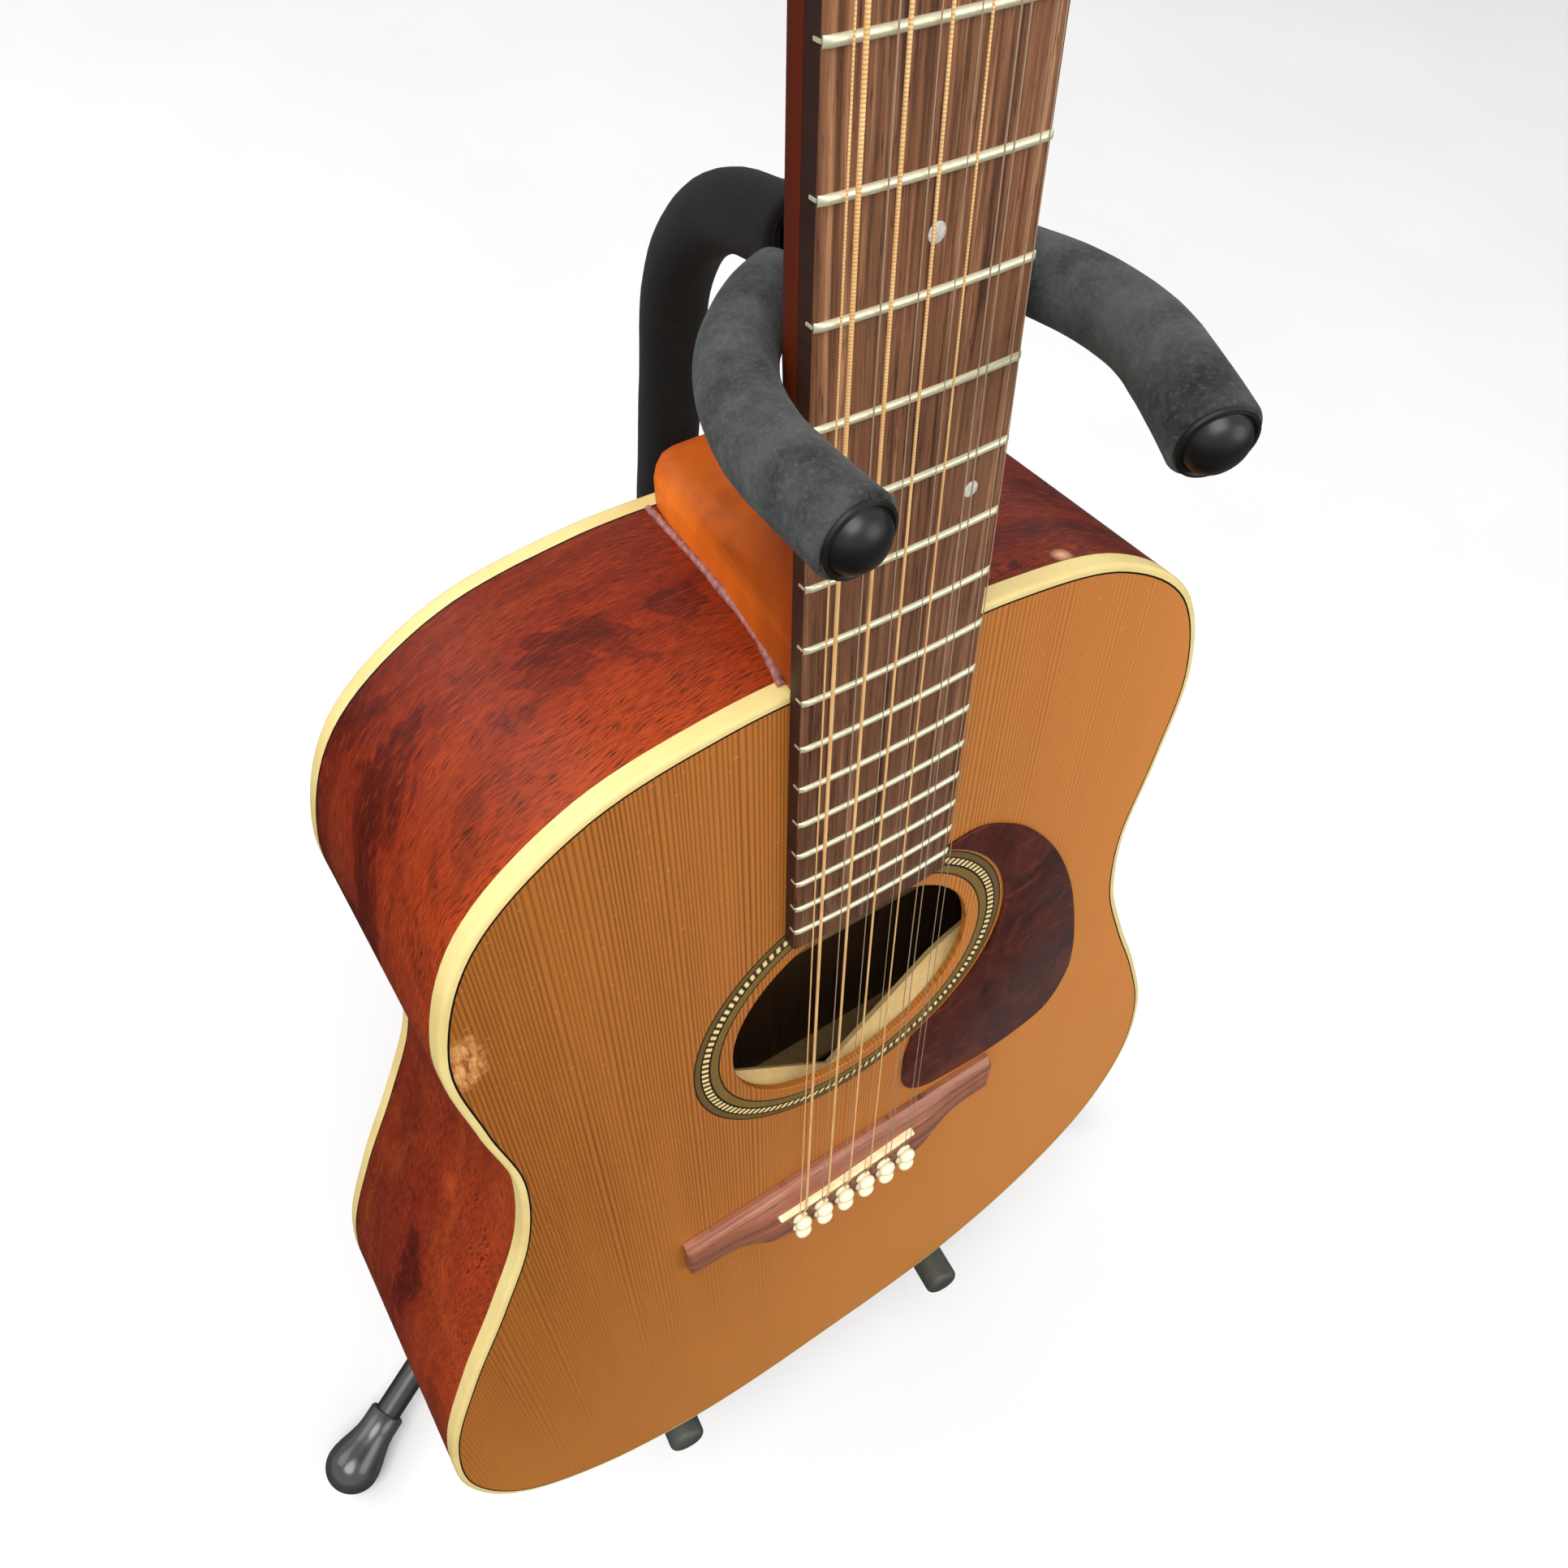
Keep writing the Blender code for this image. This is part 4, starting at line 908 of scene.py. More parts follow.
def make_top_braces():
    lean = math.radians(49.0)
    crossing = Vector((0.0, HOLE_V - 56.3 / math.sin(lean), 0.0))
    low = -TOP_THICK - 0.1
    for number, side in enumerate((-1, 1)):
        along = Vector((side * math.sin(lean), math.cos(lean), 0.0))
        across = Vector((-along.y, along.x, 0.0))
        rows = []
        for share in np.linspace(0.0, 1.0, 31):
            mid = crossing + along * (-200.0 + 330.0 * share)
            tall = 12.0 * min(1.0, 0.25 + 4.0 * min(share, 1 - share))
            rows.append([mid + across * x + Vector((0, 0, low - z)) for x, z in (
                (-4, 0), (4, 0), (4, tall * 0.75), (1.6, tall), (-1.6, tall), (-4, tall * 0.75))])
        build(f"top_brace_{number + 1}", loft(rows), "spruce", 30.0)


def make_blocks():
    for name, v, half, thick in (("neck_block", -364.5, 38.0, 30.0), ("tail_block", -877.0, 32.0, -16.0)):
        loop = [(-half, v), (half, v), (half, v - thick), (-half, v - thick)]
        build(name, prism(loop, over_back(3.2), -3.2), "inner", bevel=1.0)
    wedge = ((2.6, 0.0), (8.0, 0.0), (7.6, 3.0), (3.4, 14.0), (2.6, 14.0))
    build("lining_top", hoop([(d, -3.1 - w) for d, w in wedge]), "spruce", 30.0)
    build("lining_back", hoop([(d, over_back(2.9 + w)) for d, w in wedge]), "spruce", 30.0)


# ---------------------------------------------------------------- neck and fingerboard

def heel_half(w):
    return 18.5 + 8.5 * math.exp(min(w + 5.0, 0.0) / 24.0)


def heel_reach(w):
    return HALF_OUTLINE[0][1] + 14.0 + 51.0 * math.exp(min(w + 18.0, 0.0) / 14.0)


def neck_depth(v):
    return NECK_DEPTH_NUT + (NECK_DEPTH_HEEL - NECK_DEPTH_NUT) * clamp(-v / 300.0)


def neck_section(v, depth):
    """Half round under the board that grows squarer as it becomes the heel."""
    exponent = 0.95 - 0.68 * clamp((depth - 21.0) / 30.0)
    section = []
    for k in range(41):
        a = math.pi * k / 40
        w = -depth * math.sin(a) ** exponent
        half = board_half(min(v, 0.0))
        if v < -280.0:
            half = min(half, heel_half(w))
        behind = heel_reach(w) - v
        if w < -20.0 and behind < 8.0:
            half = half - 8.0 + math.sqrt(max(64.0 - (8.0 - max(behind, 0.0)) ** 2, 0.0))
        section.append((half * bent(math.cos(a), exponent), v, w))
    return section


def make_neck():
    stations = [(v, neck_depth(v)) for v in np.arange(4.0, -286.0, -10.0)]
    for depth in list(np.linspace(19.0, 40.0, 14)) + list(np.linspace(43.0, 91.0, 14)):
        v = heel_reach(-depth)
        if v < stations[-1][0] - 0.5 or depth > 30.0:
            stations.append((v, (neck_depth(v) ** 8 + depth**8) ** 0.125))
    deepest = DEPTH_NECK - 0.6
    stations += [(-347.1, 91.6), (-348.2, deepest), (-350.5, deepest), (-353.5, deepest), (-360.6, deepest)]
    lead = []
    for v, depth in ((28.0, 12.0), (20.0, 13.2), (12.0, 14.4)):
        drop = -1.0 - (v - 5.0) * math.tan(math.radians(HEAD_TILT))
        half = board_half(0.0) * 0.98
        lead.append([(half * bent(math.cos(a), 0.8), v, drop - depth * math.sin(a) ** 0.8)
                     for a in np.linspace(0, math.pi, 41)])
    rows = lead + [neck_section(v, depth) for v, depth in stations]
    build("neck_and_heel", loft(rows), "neck", 50.0, hide="neck", slot="maple_neck")
    for name, side in (("heel_seam_left", -1), ("heel_seam_right", 1)):
        path = [Vector((side * (heel_half(w) + 0.55), -360.8, w)) for w in np.linspace(-4.0, -86.6, 90)]
        radii = [1.3 + 0.35 * noise.noise(p * 0.4) for p in path]
        build(name, loft(sweep_rings(path, radii, 12, 0.5, side)), "glue")


def make_headstock():
    half, corner = board_half(0.0), HEAD_LONG - 14.0
    right = [(half - 0.2, -4.0), (half + 0.3, 3.0), (half + 2.4, 8.0)]
    right += [(25.6 + 7.4 * (1 - c), 9.0 + 13.0 * s) for c, s in quarter(8)]
    right += [(34.2, 60.0), (35.4, 120.0), (36.5, corner)]
    right += [(24.5 + 12.0 * c, corner + 12.0 * s) for c, s in quarter(8, 1)]
    right.append((12.0, HEAD_LONG - 0.8))
    loop = right + [(0.0, HEAD_LONG)] + [(-x, y) for x, y in reversed(right)]
    veneer = [(x * 0.995, max(y, 5.2)) for x, y in loop[2:-2]]
    half_cover = [(11, 8), (7, 18), (6.5, 34), (4.5, 42)]
    cover = [(-x, y) for x, y in half_cover] + [(0, 46)] + half_cover[::-1]
    build("headstock", prism(loop, -HEAD_THICK, -VENEER_THICK), "neck", at=HEAD, bevel=1.6)
    build("headstock_veneer", prism(veneer, -VENEER_THICK, 0.0), "veneer", at=HEAD, bevel=0.5)
    build("truss_rod_cover", prism(cover, 0.0, 1.7), "black", at=HEAD, bevel=0.5)
    dome = [(0.0, 0.9), (1.0, 0.8), (1.7, 0.2), (1.7, -0.6), (0.0, -0.6)]
    for number, spot in enumerate(((-7.5, 11.0), (7.5, 11.0), (0.0, 41.0))):
        lathe(f"cover_screw_{number + 1}", dome, SCREW_SEGS, "chrome", "guitar", HEAD @ shift(*spot, 1.7))


def make_board():
    rows = []
    for v in list(np.arange(-0.35, BOARD_END + 1.2, -18.0)) + [BOARD_END + 0.7, BOARD_END]:
        half = board_half(v)
        drop = 0.7 if v == BOARD_END else 0.0
        shoulder = board_top(half) - 0.7 - drop * 0.3
        section = [(-half, v, 0.15), (-half, v, shoulder)]
        for share in np.linspace(-1, 1, 15):
            u = share * (half - 0.45)
            section.append((u, v, board_top(u) - drop * 0.6))
        rows.append(section + [(half, v, shoulder), (half, v, 0.15)])
    data = loft(rows)
    n = len(rows[0])
    flags = [1 if k % n in (0, n - 2) and k < n * (len(rows) - 1) else 0 for k in range(len(data[1]))]
    build("rosewood_fingerboard", data, ["board", "board_edge"], face_mats=flags, hide="fingerboard",
          slot="rosewood")


def fret_parts(number):
    """The crown of one fret and the two ends of its tang."""
    v = fret_at(number)
    half = board_half(v)
    tip = [0.95, 0.975, 0.992, 1.0]
    rows = []
    for share in [-s for s in tip[::-1]] + list(np.linspace(-0.9, 0.9, 17)) + tip:
        u = share * (half + 0.1)
        tall = 0.92 * min(1.0, 0.14 + (1 - abs(share)) * half / 1.5)
        base = board_top(u) - 0.12
        rows.append([(u, v + 0.98 * math.cos(a), base + (tall + 0.12) * math.sin(a) ** 0.8)
                     for a in np.linspace(0, math.pi, 9)])
    parts = [loft(rows)]
    low, high = board_top(half) - 2.6, board_top(half) - 0.5
    for side in (-1, 1):
        ends = (side * (half - 0.6), side * (half + 0.22))
        parts.append(loft([[(u, v - 0.32, low), (u, v + 0.32, low), (u, v + 0.32, high), (u, v - 0.32, high)]
                           for u in ends]))
    return parts


def make_frets():
    parts = []
    for number in range(1, FRETS + 1):
        parts += fret_parts(number)
    build("frets", merge(parts), "nickel")
    spots = [(0.0, (fret_at(n) + fret_at(n - 1)) / 2) for n in (3, 5, 7, 9)]
    twelfth = (fret_at(12) + fret_at(11)) / 2
    spots += [(-17.3, twelfth), (17.3, twelfth)]
    profile = [(0.0, 0.05), (1.9, 0.03), (2.15, -0.05), (2.15, -0.5), (0.0, -0.5)]
    for number, (u, v) in enumerate(spots):
        at = GUITAR @ shift(u, v, board_top(u) + 0.03)
        lathe(f"position_dot_{number + 1}", profile, 28, "pearl", "guitar", at)


def make_nut():
    half = board_half(0.0) - 0.1
    rows = []
    for u in np.linspace(-half, half, 41):
        end = 0.6 if abs(u) > half - 0.3 else 0.0
        top = NUT_TOP - (u / half) ** 2 * NUT_CROWN - end
        rows.append([(u, v, w) for v, w in (
            (0.05 + end * 0.5, 0.2), (0.05 + end * 0.5, top - 0.9), (0.5, top - 0.25), (1.4, top),
            (3.2, top - 0.4), (4.6, top - 1.6), (5.0, top - 2.6), (5.0, 0.2))])
    build("nut_block", loft(rows), "bone", 35.0, hide="nut", slot="bone")


# ---------------------------------------------------------------- bridge, guard, strings

def falloff(u, middle, width):
    """Falls from 1 to 0 away from the centre line, about a middle distance."""
    return 1 / (1 + math.exp((abs(u) - middle) / width))


def make_bridge():
    ends = [BRIDGE_HALF - 1.0, BRIDGE_HALF - 0.35, BRIDGE_HALF]
    rows = []
    for u in [-x for x in ends[::-1]] + list(np.linspace(-76.0, 76.0, 77)) + ends:
        nose = max(abs(u) - ends[0], 0.0)
        tall = 5.6 + (BRIDGE_TALL - 5.6) * falloff(u, 50.0, 5.0) - nose * 0.9
        slope = 3.4 + 5.6 * falloff(u, 50.0, 9.0)
        front = BRIDGE_FRONT - nose * 0.3
        rear = BRIDGE_FRONT - (24.0 + 15.5 * falloff(u, 45.0, 4.0)) + nose * 0.3
        rows.append([(u, v, w) for v, w in (
            (front, 0.1), (front, 2.2), (front - 0.3, 2.6), (front - slope * 0.5, 2.6 + (tall - 2.6) * 0.56),
            (front - slope + 0.4, tall - 0.22), (front - slope - 0.4, tall), ((front + rear) / 2 - 3, tall),
            (rear + 2.6, tall - 0.1), (rear + 1.2, tall - 0.5), (rear + 0.3, tall - 1.6), (rear, tall - 2.8),
            (rear, 0.1))])
    build("bridge_plate", loft(rows), "bridge", 32.0, hide="bridge", slot="bridge_wood")


def make_saddle():
    left, right = (Vector((u, v, 0)) for u, v in SADDLE_ENDS)
    rows = []
    for share in [0.0, 0.006, 0.02] + list(np.linspace(0.05, 0.95, 19)) + [0.98, 0.994, 1.0]:
        mid = left.lerp(right, share)
        nose = 1.0 if share in (0.0, 1.0) else 0.0
        top = BRIDGE_TALL + SADDLE_TALL + SADDLE_CROWN * math.sin(math.pi * share) - nose * 0.8
        wide = 1.3 - nose * 0.4
        rows.append([(mid.x, mid.y + a, z) for a, z in (
            (-wide, 5.0), (wide, 5.0), (wide, top - 0.9), (wide * 0.7, top - 0.25), (0.0, top),
            (-wide * 0.7, top - 0.25), (-wide, top - 0.9))])
    build("saddle_strip", loft(rows), "bone", 50.0, hide="saddle", slot="bone")


def pin_place(row, k):
    return PIN_PITCH * (k - 2.5), PIN_V + PIN_ROWS * (0.5 - row)


def make_pins():
    head = [(0.0, -3.0), (2.4, -3.0), (2.8, 0.0), (3.4, 0.25), (3.6, 0.9), (3.1, 1.7), (3.2, 2.2),
            (3.75, 3.1), (3.7, 4.2), (3.0, 5.3), (1.7, 6.0), (0.0, 6.2)]
    for index in range(12):
        at = GUITAR @ shift(*pin_place(*divmod(index, 6)), BRIDGE_TALL)
        lathe(f"bridge_pin_{index + 1}", head, 22, "pin", "guitar", at, slot="bone")


def make_guard():
    radius, steps = ROSETTE[1] + 1.2, 26
    turns = [math.radians(62.0 - 125.0 * k / (steps - 1)) for k in range(steps)]
    inner = [(radius * math.cos(a), HOLE_V + radius * math.sin(a)) for a in turns]
    outer = [(27.5, -603), (31, -622), (41, -632), (56, -635.5), (78, -637), (98, -634), (111, -627),
             (118, -608), (117.5, -588), (112, -561), (103, -531), (89.5, -502), (73.5, -479.5), (60, -467.5),
             (47, -461)]
    curve = smooth_path(level([inner[-1]] + outer + [inner[0]], 0.0), 3.5)
    loop = inner + [(p.x, p.y) for p in curve[1:-1]]
    build("pickguard_plate", prism(loop[::-1], 0.04, 1.15), "guard", 30.0, hide="pickguard", slot="tortoise",
          bevel=0.4)


STRINGS = (
    ("octave_e", 0.22, "bronze"), ("low_e", 0.52, "bronze"), ("octave_a", 0.18, "steel_string"),
    ("a", 0.44, "bronze"), ("octave_d", 0.15, "steel_string"), ("d", 0.36, "bronze"),
    ("octave_g", 0.12, "steel_string"), ("g", 0.26, "bronze"), ("b_1", 0.18, "steel_string"),
    ("b_2", 0.18, "steel_string"), ("e_1", 0.14, "steel_string"), ("e_2", 0.14, "steel_string"),
)


def string_path(index, radius, side, number):
    """One string from its pin over the saddle and the nut to its post."""
    course, half = divmod(index, 2)
    hand = -1 if half == 0 else 1
    nut = STRING_FIRST + COURSE_PITCH * course + PAIR_NUT * hand
    pin_u, pin_v = pin_place(half, course)
    saddle = pin_u + PAIR_SADDLE * hand
    share = (saddle - SADDLE_ENDS[0][0]) / (SADDLE_ENDS[1][0] - SADDLE_ENDS[0][0])
    saddle_v = SADDLE_ENDS[0][1] + (SADDLE_ENDS[1][1] - SADDLE_ENDS[0][1]) * share
    top = BRIDGE_TALL + SADDLE_TALL + SADDLE_CROWN * math.sin(math.pi * clamp(share)) + radius * 0.8
    nut_top = NUT_TOP - (nut / 23.2) ** 2 * NUT_CROWN + radius * 0.2
    local = HEAD.inverted() @ GUITAR
    spot = Vector((side * (POST_U - 2.6 - radius), TUNER_FIRST + TUNER_PITCH * number - 0.6, COIL_Z))
    post = (local.inverted() @ (spot * MM)) / MM
    path = [Vector(p) for p in (
        (pin_u, pin_v + 3.4, BRIDGE_TALL - 2.0),
        (pin_u + (saddle - pin_u) * 0.1, pin_v + 3.9, BRIDGE_TALL + 0.5),
        (saddle, saddle_v - 0.9, top - 0.5), (saddle, saddle_v, top),
        (saddle + (nut - saddle) * 0.002, saddle_v + 1.3, top))]
    start, end = path[-1], Vector((nut, 1.2, nut_top))
    path += [start.lerp(end, k / 12) for k in range(1, 12)]
    return path + [end, Vector((nut + (post.x - nut) * 0.03, 3.6, nut_top - 0.8)), post]


def make_strings():
    for index, (name, radius, mat) in enumerate(STRINGS):
        side_name, side, number = ("bass", -1, index) if index < 6 else ("treble", 1, 11 - index)
        build(f"string_{name}", bar(string_path(index, radius, side, number), radius, 10), mat, 60.0)
        coil = []
        for k in range(3 * COIL_STEPS + 1):
            turns = k / COIL_STEPS
            a = math.radians(180.0 if side > 0 else 0.0) + side * 2 * math.pi * turns
            coil.append((COIL_R * math.cos(a), COIL_R * math.sin(a), COIL_Z - radius * 2.05 * turns))
        joint = f"post_turn_{side_name}_{number + 1}"
        build(f"winding_{name}", bar(coil, radius, 8), mat, 60.0, JOINTS[joint]["child"],
              at_joint(joint, HEAD))


# ---------------------------------------------------------------- tuners

def gear_cover(mid, s):
    rows = []
    corner = 2.2
    for shrink, depth in ((0.0, 1.5), (0.0, 7.6), (0.5, 8.8), (1.4, 9.5), (2.6, 9.8)):
        a, b = PLATE_HALF - 0.6 - shrink - corner, 7.2 - shrink - corner
        section = []
        for sx, sy, begin in ((1, 1, 0), (-1, 1, 90), (-1, -1, 180), (1, -1, 270)):
            for j in range(5):
                t = math.radians(begin + 90 * j / 4)
                section.append((mid + sx * a + corner * math.cos(t), s + sy * b + corner * math.sin(t)))
        rows.append(level(section, -HEAD_THICK - depth))
    return loft(rows)


def tuner_button(side):
    rows = []
    for x, wide, flat in (
            (0.1, 2.6, 2.6), (1.6, 2.6, 2.6), (2.0, 1.8, 1.8), (9.5, 1.8, 1.8), (10.4, 2.6, 2.6),
            (12.6, 2.8, 2.7), (13.6, 4.0, 2.8), (15.2, 6.2, 3.1), (17.5, 7.7, 3.5), (20.0, 8.3, 3.7),
            (22.5, 8.3, 3.7), (24.6, 7.6, 3.4), (26.2, 6.0, 2.7), (27.0, 3.6, 1.6)):
        rows.append([(side * x, y, z) for y, z in oval(wide, flat, 0.85, 24)])
    return loft(rows)


def make_tuner(tag, side, s):
    """Gear cover, ferrule, post and key of one string."""
    build(f"gear_cover_{tag}", gear_cover(side * PLATE_MID, s), "chrome", 50.0, at=HEAD)
    ferrule = round_profile([(3.3, 0.1), (5.6, 0.1), (5.6, 1.2), (4.4, 2.0), (3.3, 2.0)], 0.4)
    lathe(f"ferrule_{tag}", ferrule[:-1], 28, "chrome", "guitar", HEAD @ shift(side * POST_U, s, 0))
    post = [(0.0, -14.4), (3.1, -14.4), (3.1, 2.3), (2.5, 3.2), (2.4, 8.2), (2.9, 9.6), (3.15, 11.2),
            (2.8, 12.4), (1.6, 12.8), (0.0, 12.8)]
    joint = f"post_turn_{tag}"
    lathe(f"string_post_{tag}", post, 24, "chrome", JOINTS[joint]["child"], at_joint(joint, HEAD),
          hide=f"tuner_post_{tag}", slot="chrome")
    joint = f"key_turn_{tag}"
    build(f"tuner_button_{tag}", tuner_button(side), "chrome", 50.0, JOINTS[joint]["child"],
          at_joint(joint, HEAD), hide=f"tuner_key_{tag}", slot="chrome")


def make_tuners():
    low, high = TUNER_FIRST - 9.0, TUNER_FIRST + TUNER_PITCH * 5 + 9.0
    screw = [(0.0, 0.9), (0.9, 0.75), (1.8, 0.2), (1.8, -0.4), (0.0, -0.4)]
    for side_name, side in (("bass", -1), ("treble", 1)):
        mid = side * PLATE_MID
        left, right = mid - PLATE_HALF, mid + PLATE_HALF
        loop = [(right, low + 4), (right, high - 4), (right - 4, high), (left + 4, high), (left, high - 4),
                (left, low + 4), (left + 4, low), (right - 4, low)]
        build(f"tuner_base_{side_name}", prism(loop, -HEAD_THICK - PLATE_THICK, -HEAD_THICK - 0.05), "chrome",
              at=HEAD, hide=f"tuner_plate_{side_name}", slot="chrome", bevel=0.5)
        for k in range(6):
            make_tuner(f"{side_name}_{k + 1}", side, TUNER_FIRST + TUNER_PITCH * k)
        for k in range(7):
            s = clamp(TUNER_FIRST + TUNER_PITCH * (k - 0.5), low + 3.0, high - 3.0)
            at = HEAD @ shift(mid, s, -HEAD_THICK - PLATE_THICK) @ turn("X", 180)
            lathe(f"plate_screw_{side_name}_{k + 1}", screw, SCREW_SEGS, "chrome", "guitar", at)


def make_end_pin():
    tail_v = HALF_OUTLINE[-1][1]
    at = GUITAR @ shift(0, tail_v - 0.3, back_height(tail_v) / 2) @ turn("X", 90)
    profile = round_profile([(0.0, 0.0), (7.0, 0.0), (7.0, 2.0), (3.8, 4.6), (3.8, 9.0), (6.5, 12.5),
                             (5.5, 15.0), (0.0, 16.0)])
    lathe("strap_button", profile, 32, "black", "guitar", at, hide="end_pin", slot="gloss_black")


# ---------------------------------------------------------------- stand

def mast_line():
    """Points of the mast centreline from its foot to the yoke, and the arm's direction."""
    swing = Matrix.Rotation(math.atan2(YOKE_AT[0], -YOKE_AT[1]), 3, "Z")
    low, high = MAST_Z
    points = [Vector((0, 0, z)) for z in np.arange(low, high + 0.1, (high - low) / 30)]
    sweep = math.radians(90 - BEND_RISE)
    for k in range(1, 19):
        a = sweep * k / 18
        points.append(swing @ Vector((0, -BEND_R * (1 - math.cos(a)), high + BEND_R * math.sin(a))))
    rise = math.radians(BEND_RISE)
    return points, swing @ Vector((0, -math.cos(rise), math.sin(rise)))


def yoke_turn():
    return turn("Z", YOKE_SWIVEL) @ turn("X", -YOKE_PITCH) @ turn("Y", YOKE_ROLL)


def make_mast():
    points, arm = mast_line()
    end = Vector(YOKE_AT)

    def to_yoke(gap):
        """Points from the bend's end to a little short of the yoke."""
        return [points[-1].lerp(end - arm * gap, k / 4) for k in range(1, 5)]

    rounded_tube("mast_pipe", points + to_yoke(21.0), MAST_R, 32, "steel", "mast", STAND, 5.2, 0.5,
                 hide="mast_tube", slot="black_steel")
    sleeve = [Vector((0, 0, z)) for z in np.arange(SLEEVE_FOOT, MAST_Z[1], 6.0)]
    sleeve += [p for p in points if p.z > MAST_Z[1] - 1 or p.y < -0.01] + to_yoke(20.0)
    grip = rounded_tube("mast_grip", sleeve, SLEEVE_R, 44, "mast_foam", "mast", STAND, MAST_R + 0.3, 1.4,
                        0.35, 3.0, hide="mast_sleeve", slot="foam")
    plate = at_joint("yoke_swivel", yoke_turn() @ turn("Z", -YOKE_SWIVEL))
    rim = sorted((tuple(p) for p in circle(EYE_R, 40) if p[1] < 5.0), key=lambda p: math.atan2(p[0], -p[1]))
    eye = prism(rim + [(5.0, 17.0), (-5.0, 17.0)], -11.0, -7.3)
    build("mast_eye_plate", eye, "steel", 40.0, "mast", plate, bevel=0.5)
    crush = []
    for k in range(13):
        share = k / 12
        eased = share * share * (3 - 2 * share)
        ring = oval(6.6 - 0.4 * eased, 6.6 - 4.7 * eased, 1.0 - 0.55 * eased, 32)
        crush.append([(x, 22.5 - 10.5 * share, -4.0 - 5.15 * eased + z) for x, z in ring])
    build("mast_flat_end", loft(crush), "steel", 45.0, "mast", plate)
    rivet = round_profile([(0.0, -12.4), (5.0, -12.0), (5.0, -11.0), (2.8, -11.0), (2.8, 4.3), (5.4, 4.3),
                           (5.4, 6.0), (3.4, 7.4), (0.0, 7.6)], 0.5)
    lathe("yoke_rivet", rivet, 28, "zinc", "mast", plate)


def yoke_line(side, start):
    """Centreline of one arm of the yoke from an angle of its bow, and the heading of its tip."""
    points = []
    for k in range(41):
        a = math.radians(start + (YOKE_SWEEP - start) * k / 40)
        back = YOKE_REACH * (1 - math.cos(a)) + PIVOT_BACK
        points.append(Vector((side * YOKE_SIDE * math.sin(a), -back, 0.0)))
    a = math.radians(YOKE_SWEEP)
    heading = Vector((side * YOKE_SIDE * math.cos(a), -YOKE_REACH * math.sin(a), 0.0)).normalized()
    points += [points[-1] + heading * (YOKE_TIP - 1.2) * k / 8 for k in range(1, 9)]
    lean, droop = (0.6, 3.4) if side > 0 else (1.9, 1.8)
    for p in points:
        share = clamp((-70.0 - p.y) / 31.0, 0.0, 1.2) ** 1.5
        p.x += lean * share
        p.z -= droop * share
    return points, (points[-1] - points[-2]).normalized()


def toward(place, heading):
    """Frame whose local Z runs along a heading, at a place in millimetres."""
    return shift(*place) @ Vector(heading).to_track_quat("Z", "Y").to_matrix().to_4x4()


def make_yoke():
    at = at_joint("yoke_swivel", yoke_turn())
    right, left = yoke_line(1, 6.0)[0], yoke_line(-1, 6.0)[0]
    build("yoke_rod", bar(left[-2::-1] + right[:-1], ROD_R, 28), "steel", 40.0, "yoke", at, hide="yoke_tube",
          slot="black_steel")
    rim = sorted((tuple(p) for p in circle(8.5, 36) if p[1] > -5.5),
                 key=lambda p: (math.atan2(p[1], p[0]) + math.radians(45)) % (2 * math.pi))
    boss = rim + [(-5.5, -PIVOT_BACK), (5.5, -PIVOT_BACK)]
    build("yoke_boss_plate", prism(boss, -6.7, 4.0), "steel", 40.0, "yoke", at, bevel=0.8)
    cap = [(0.0, -3.0), (6.0, -3.0), (6.25, -0.6), (8.0, -0.4), (8.35, 0.2), (8.2, 0.9), (7.5, 1.15),
           (6.95, 0.8), (6.75, 1.0), (6.35, 2.1), (5.4, 3.3), (3.9, 4.35), (2.0, 5.0), (0.0, 5.2)]
    for name, side in (("left", -1), ("right", 1)):
        line, heading = yoke_line(side, 24.0)
        sleeve = rounded_tube(f"yoke_grip_{name}", line, YOKE_R, 48, "foam", "yoke", at, ROD_R + 0.3, 1.3,
                              0.28, 7.0 + side * 3.0, 0.6, hide=f"yoke_sleeve_{name}", slot="foam")
        lathe(f"yoke_end_cap_{name}", cap, 48, "cap", "yoke", at @ toward(line[-1], heading),
              hide=f"yoke_cap_{name}", slot="gloss_black")


def cradle_height(y):
    return CRADLE_TIP[1] - (y - CRADLE_TIP[0]) * math.tan(math.radians(CRADLE_SLOPE))


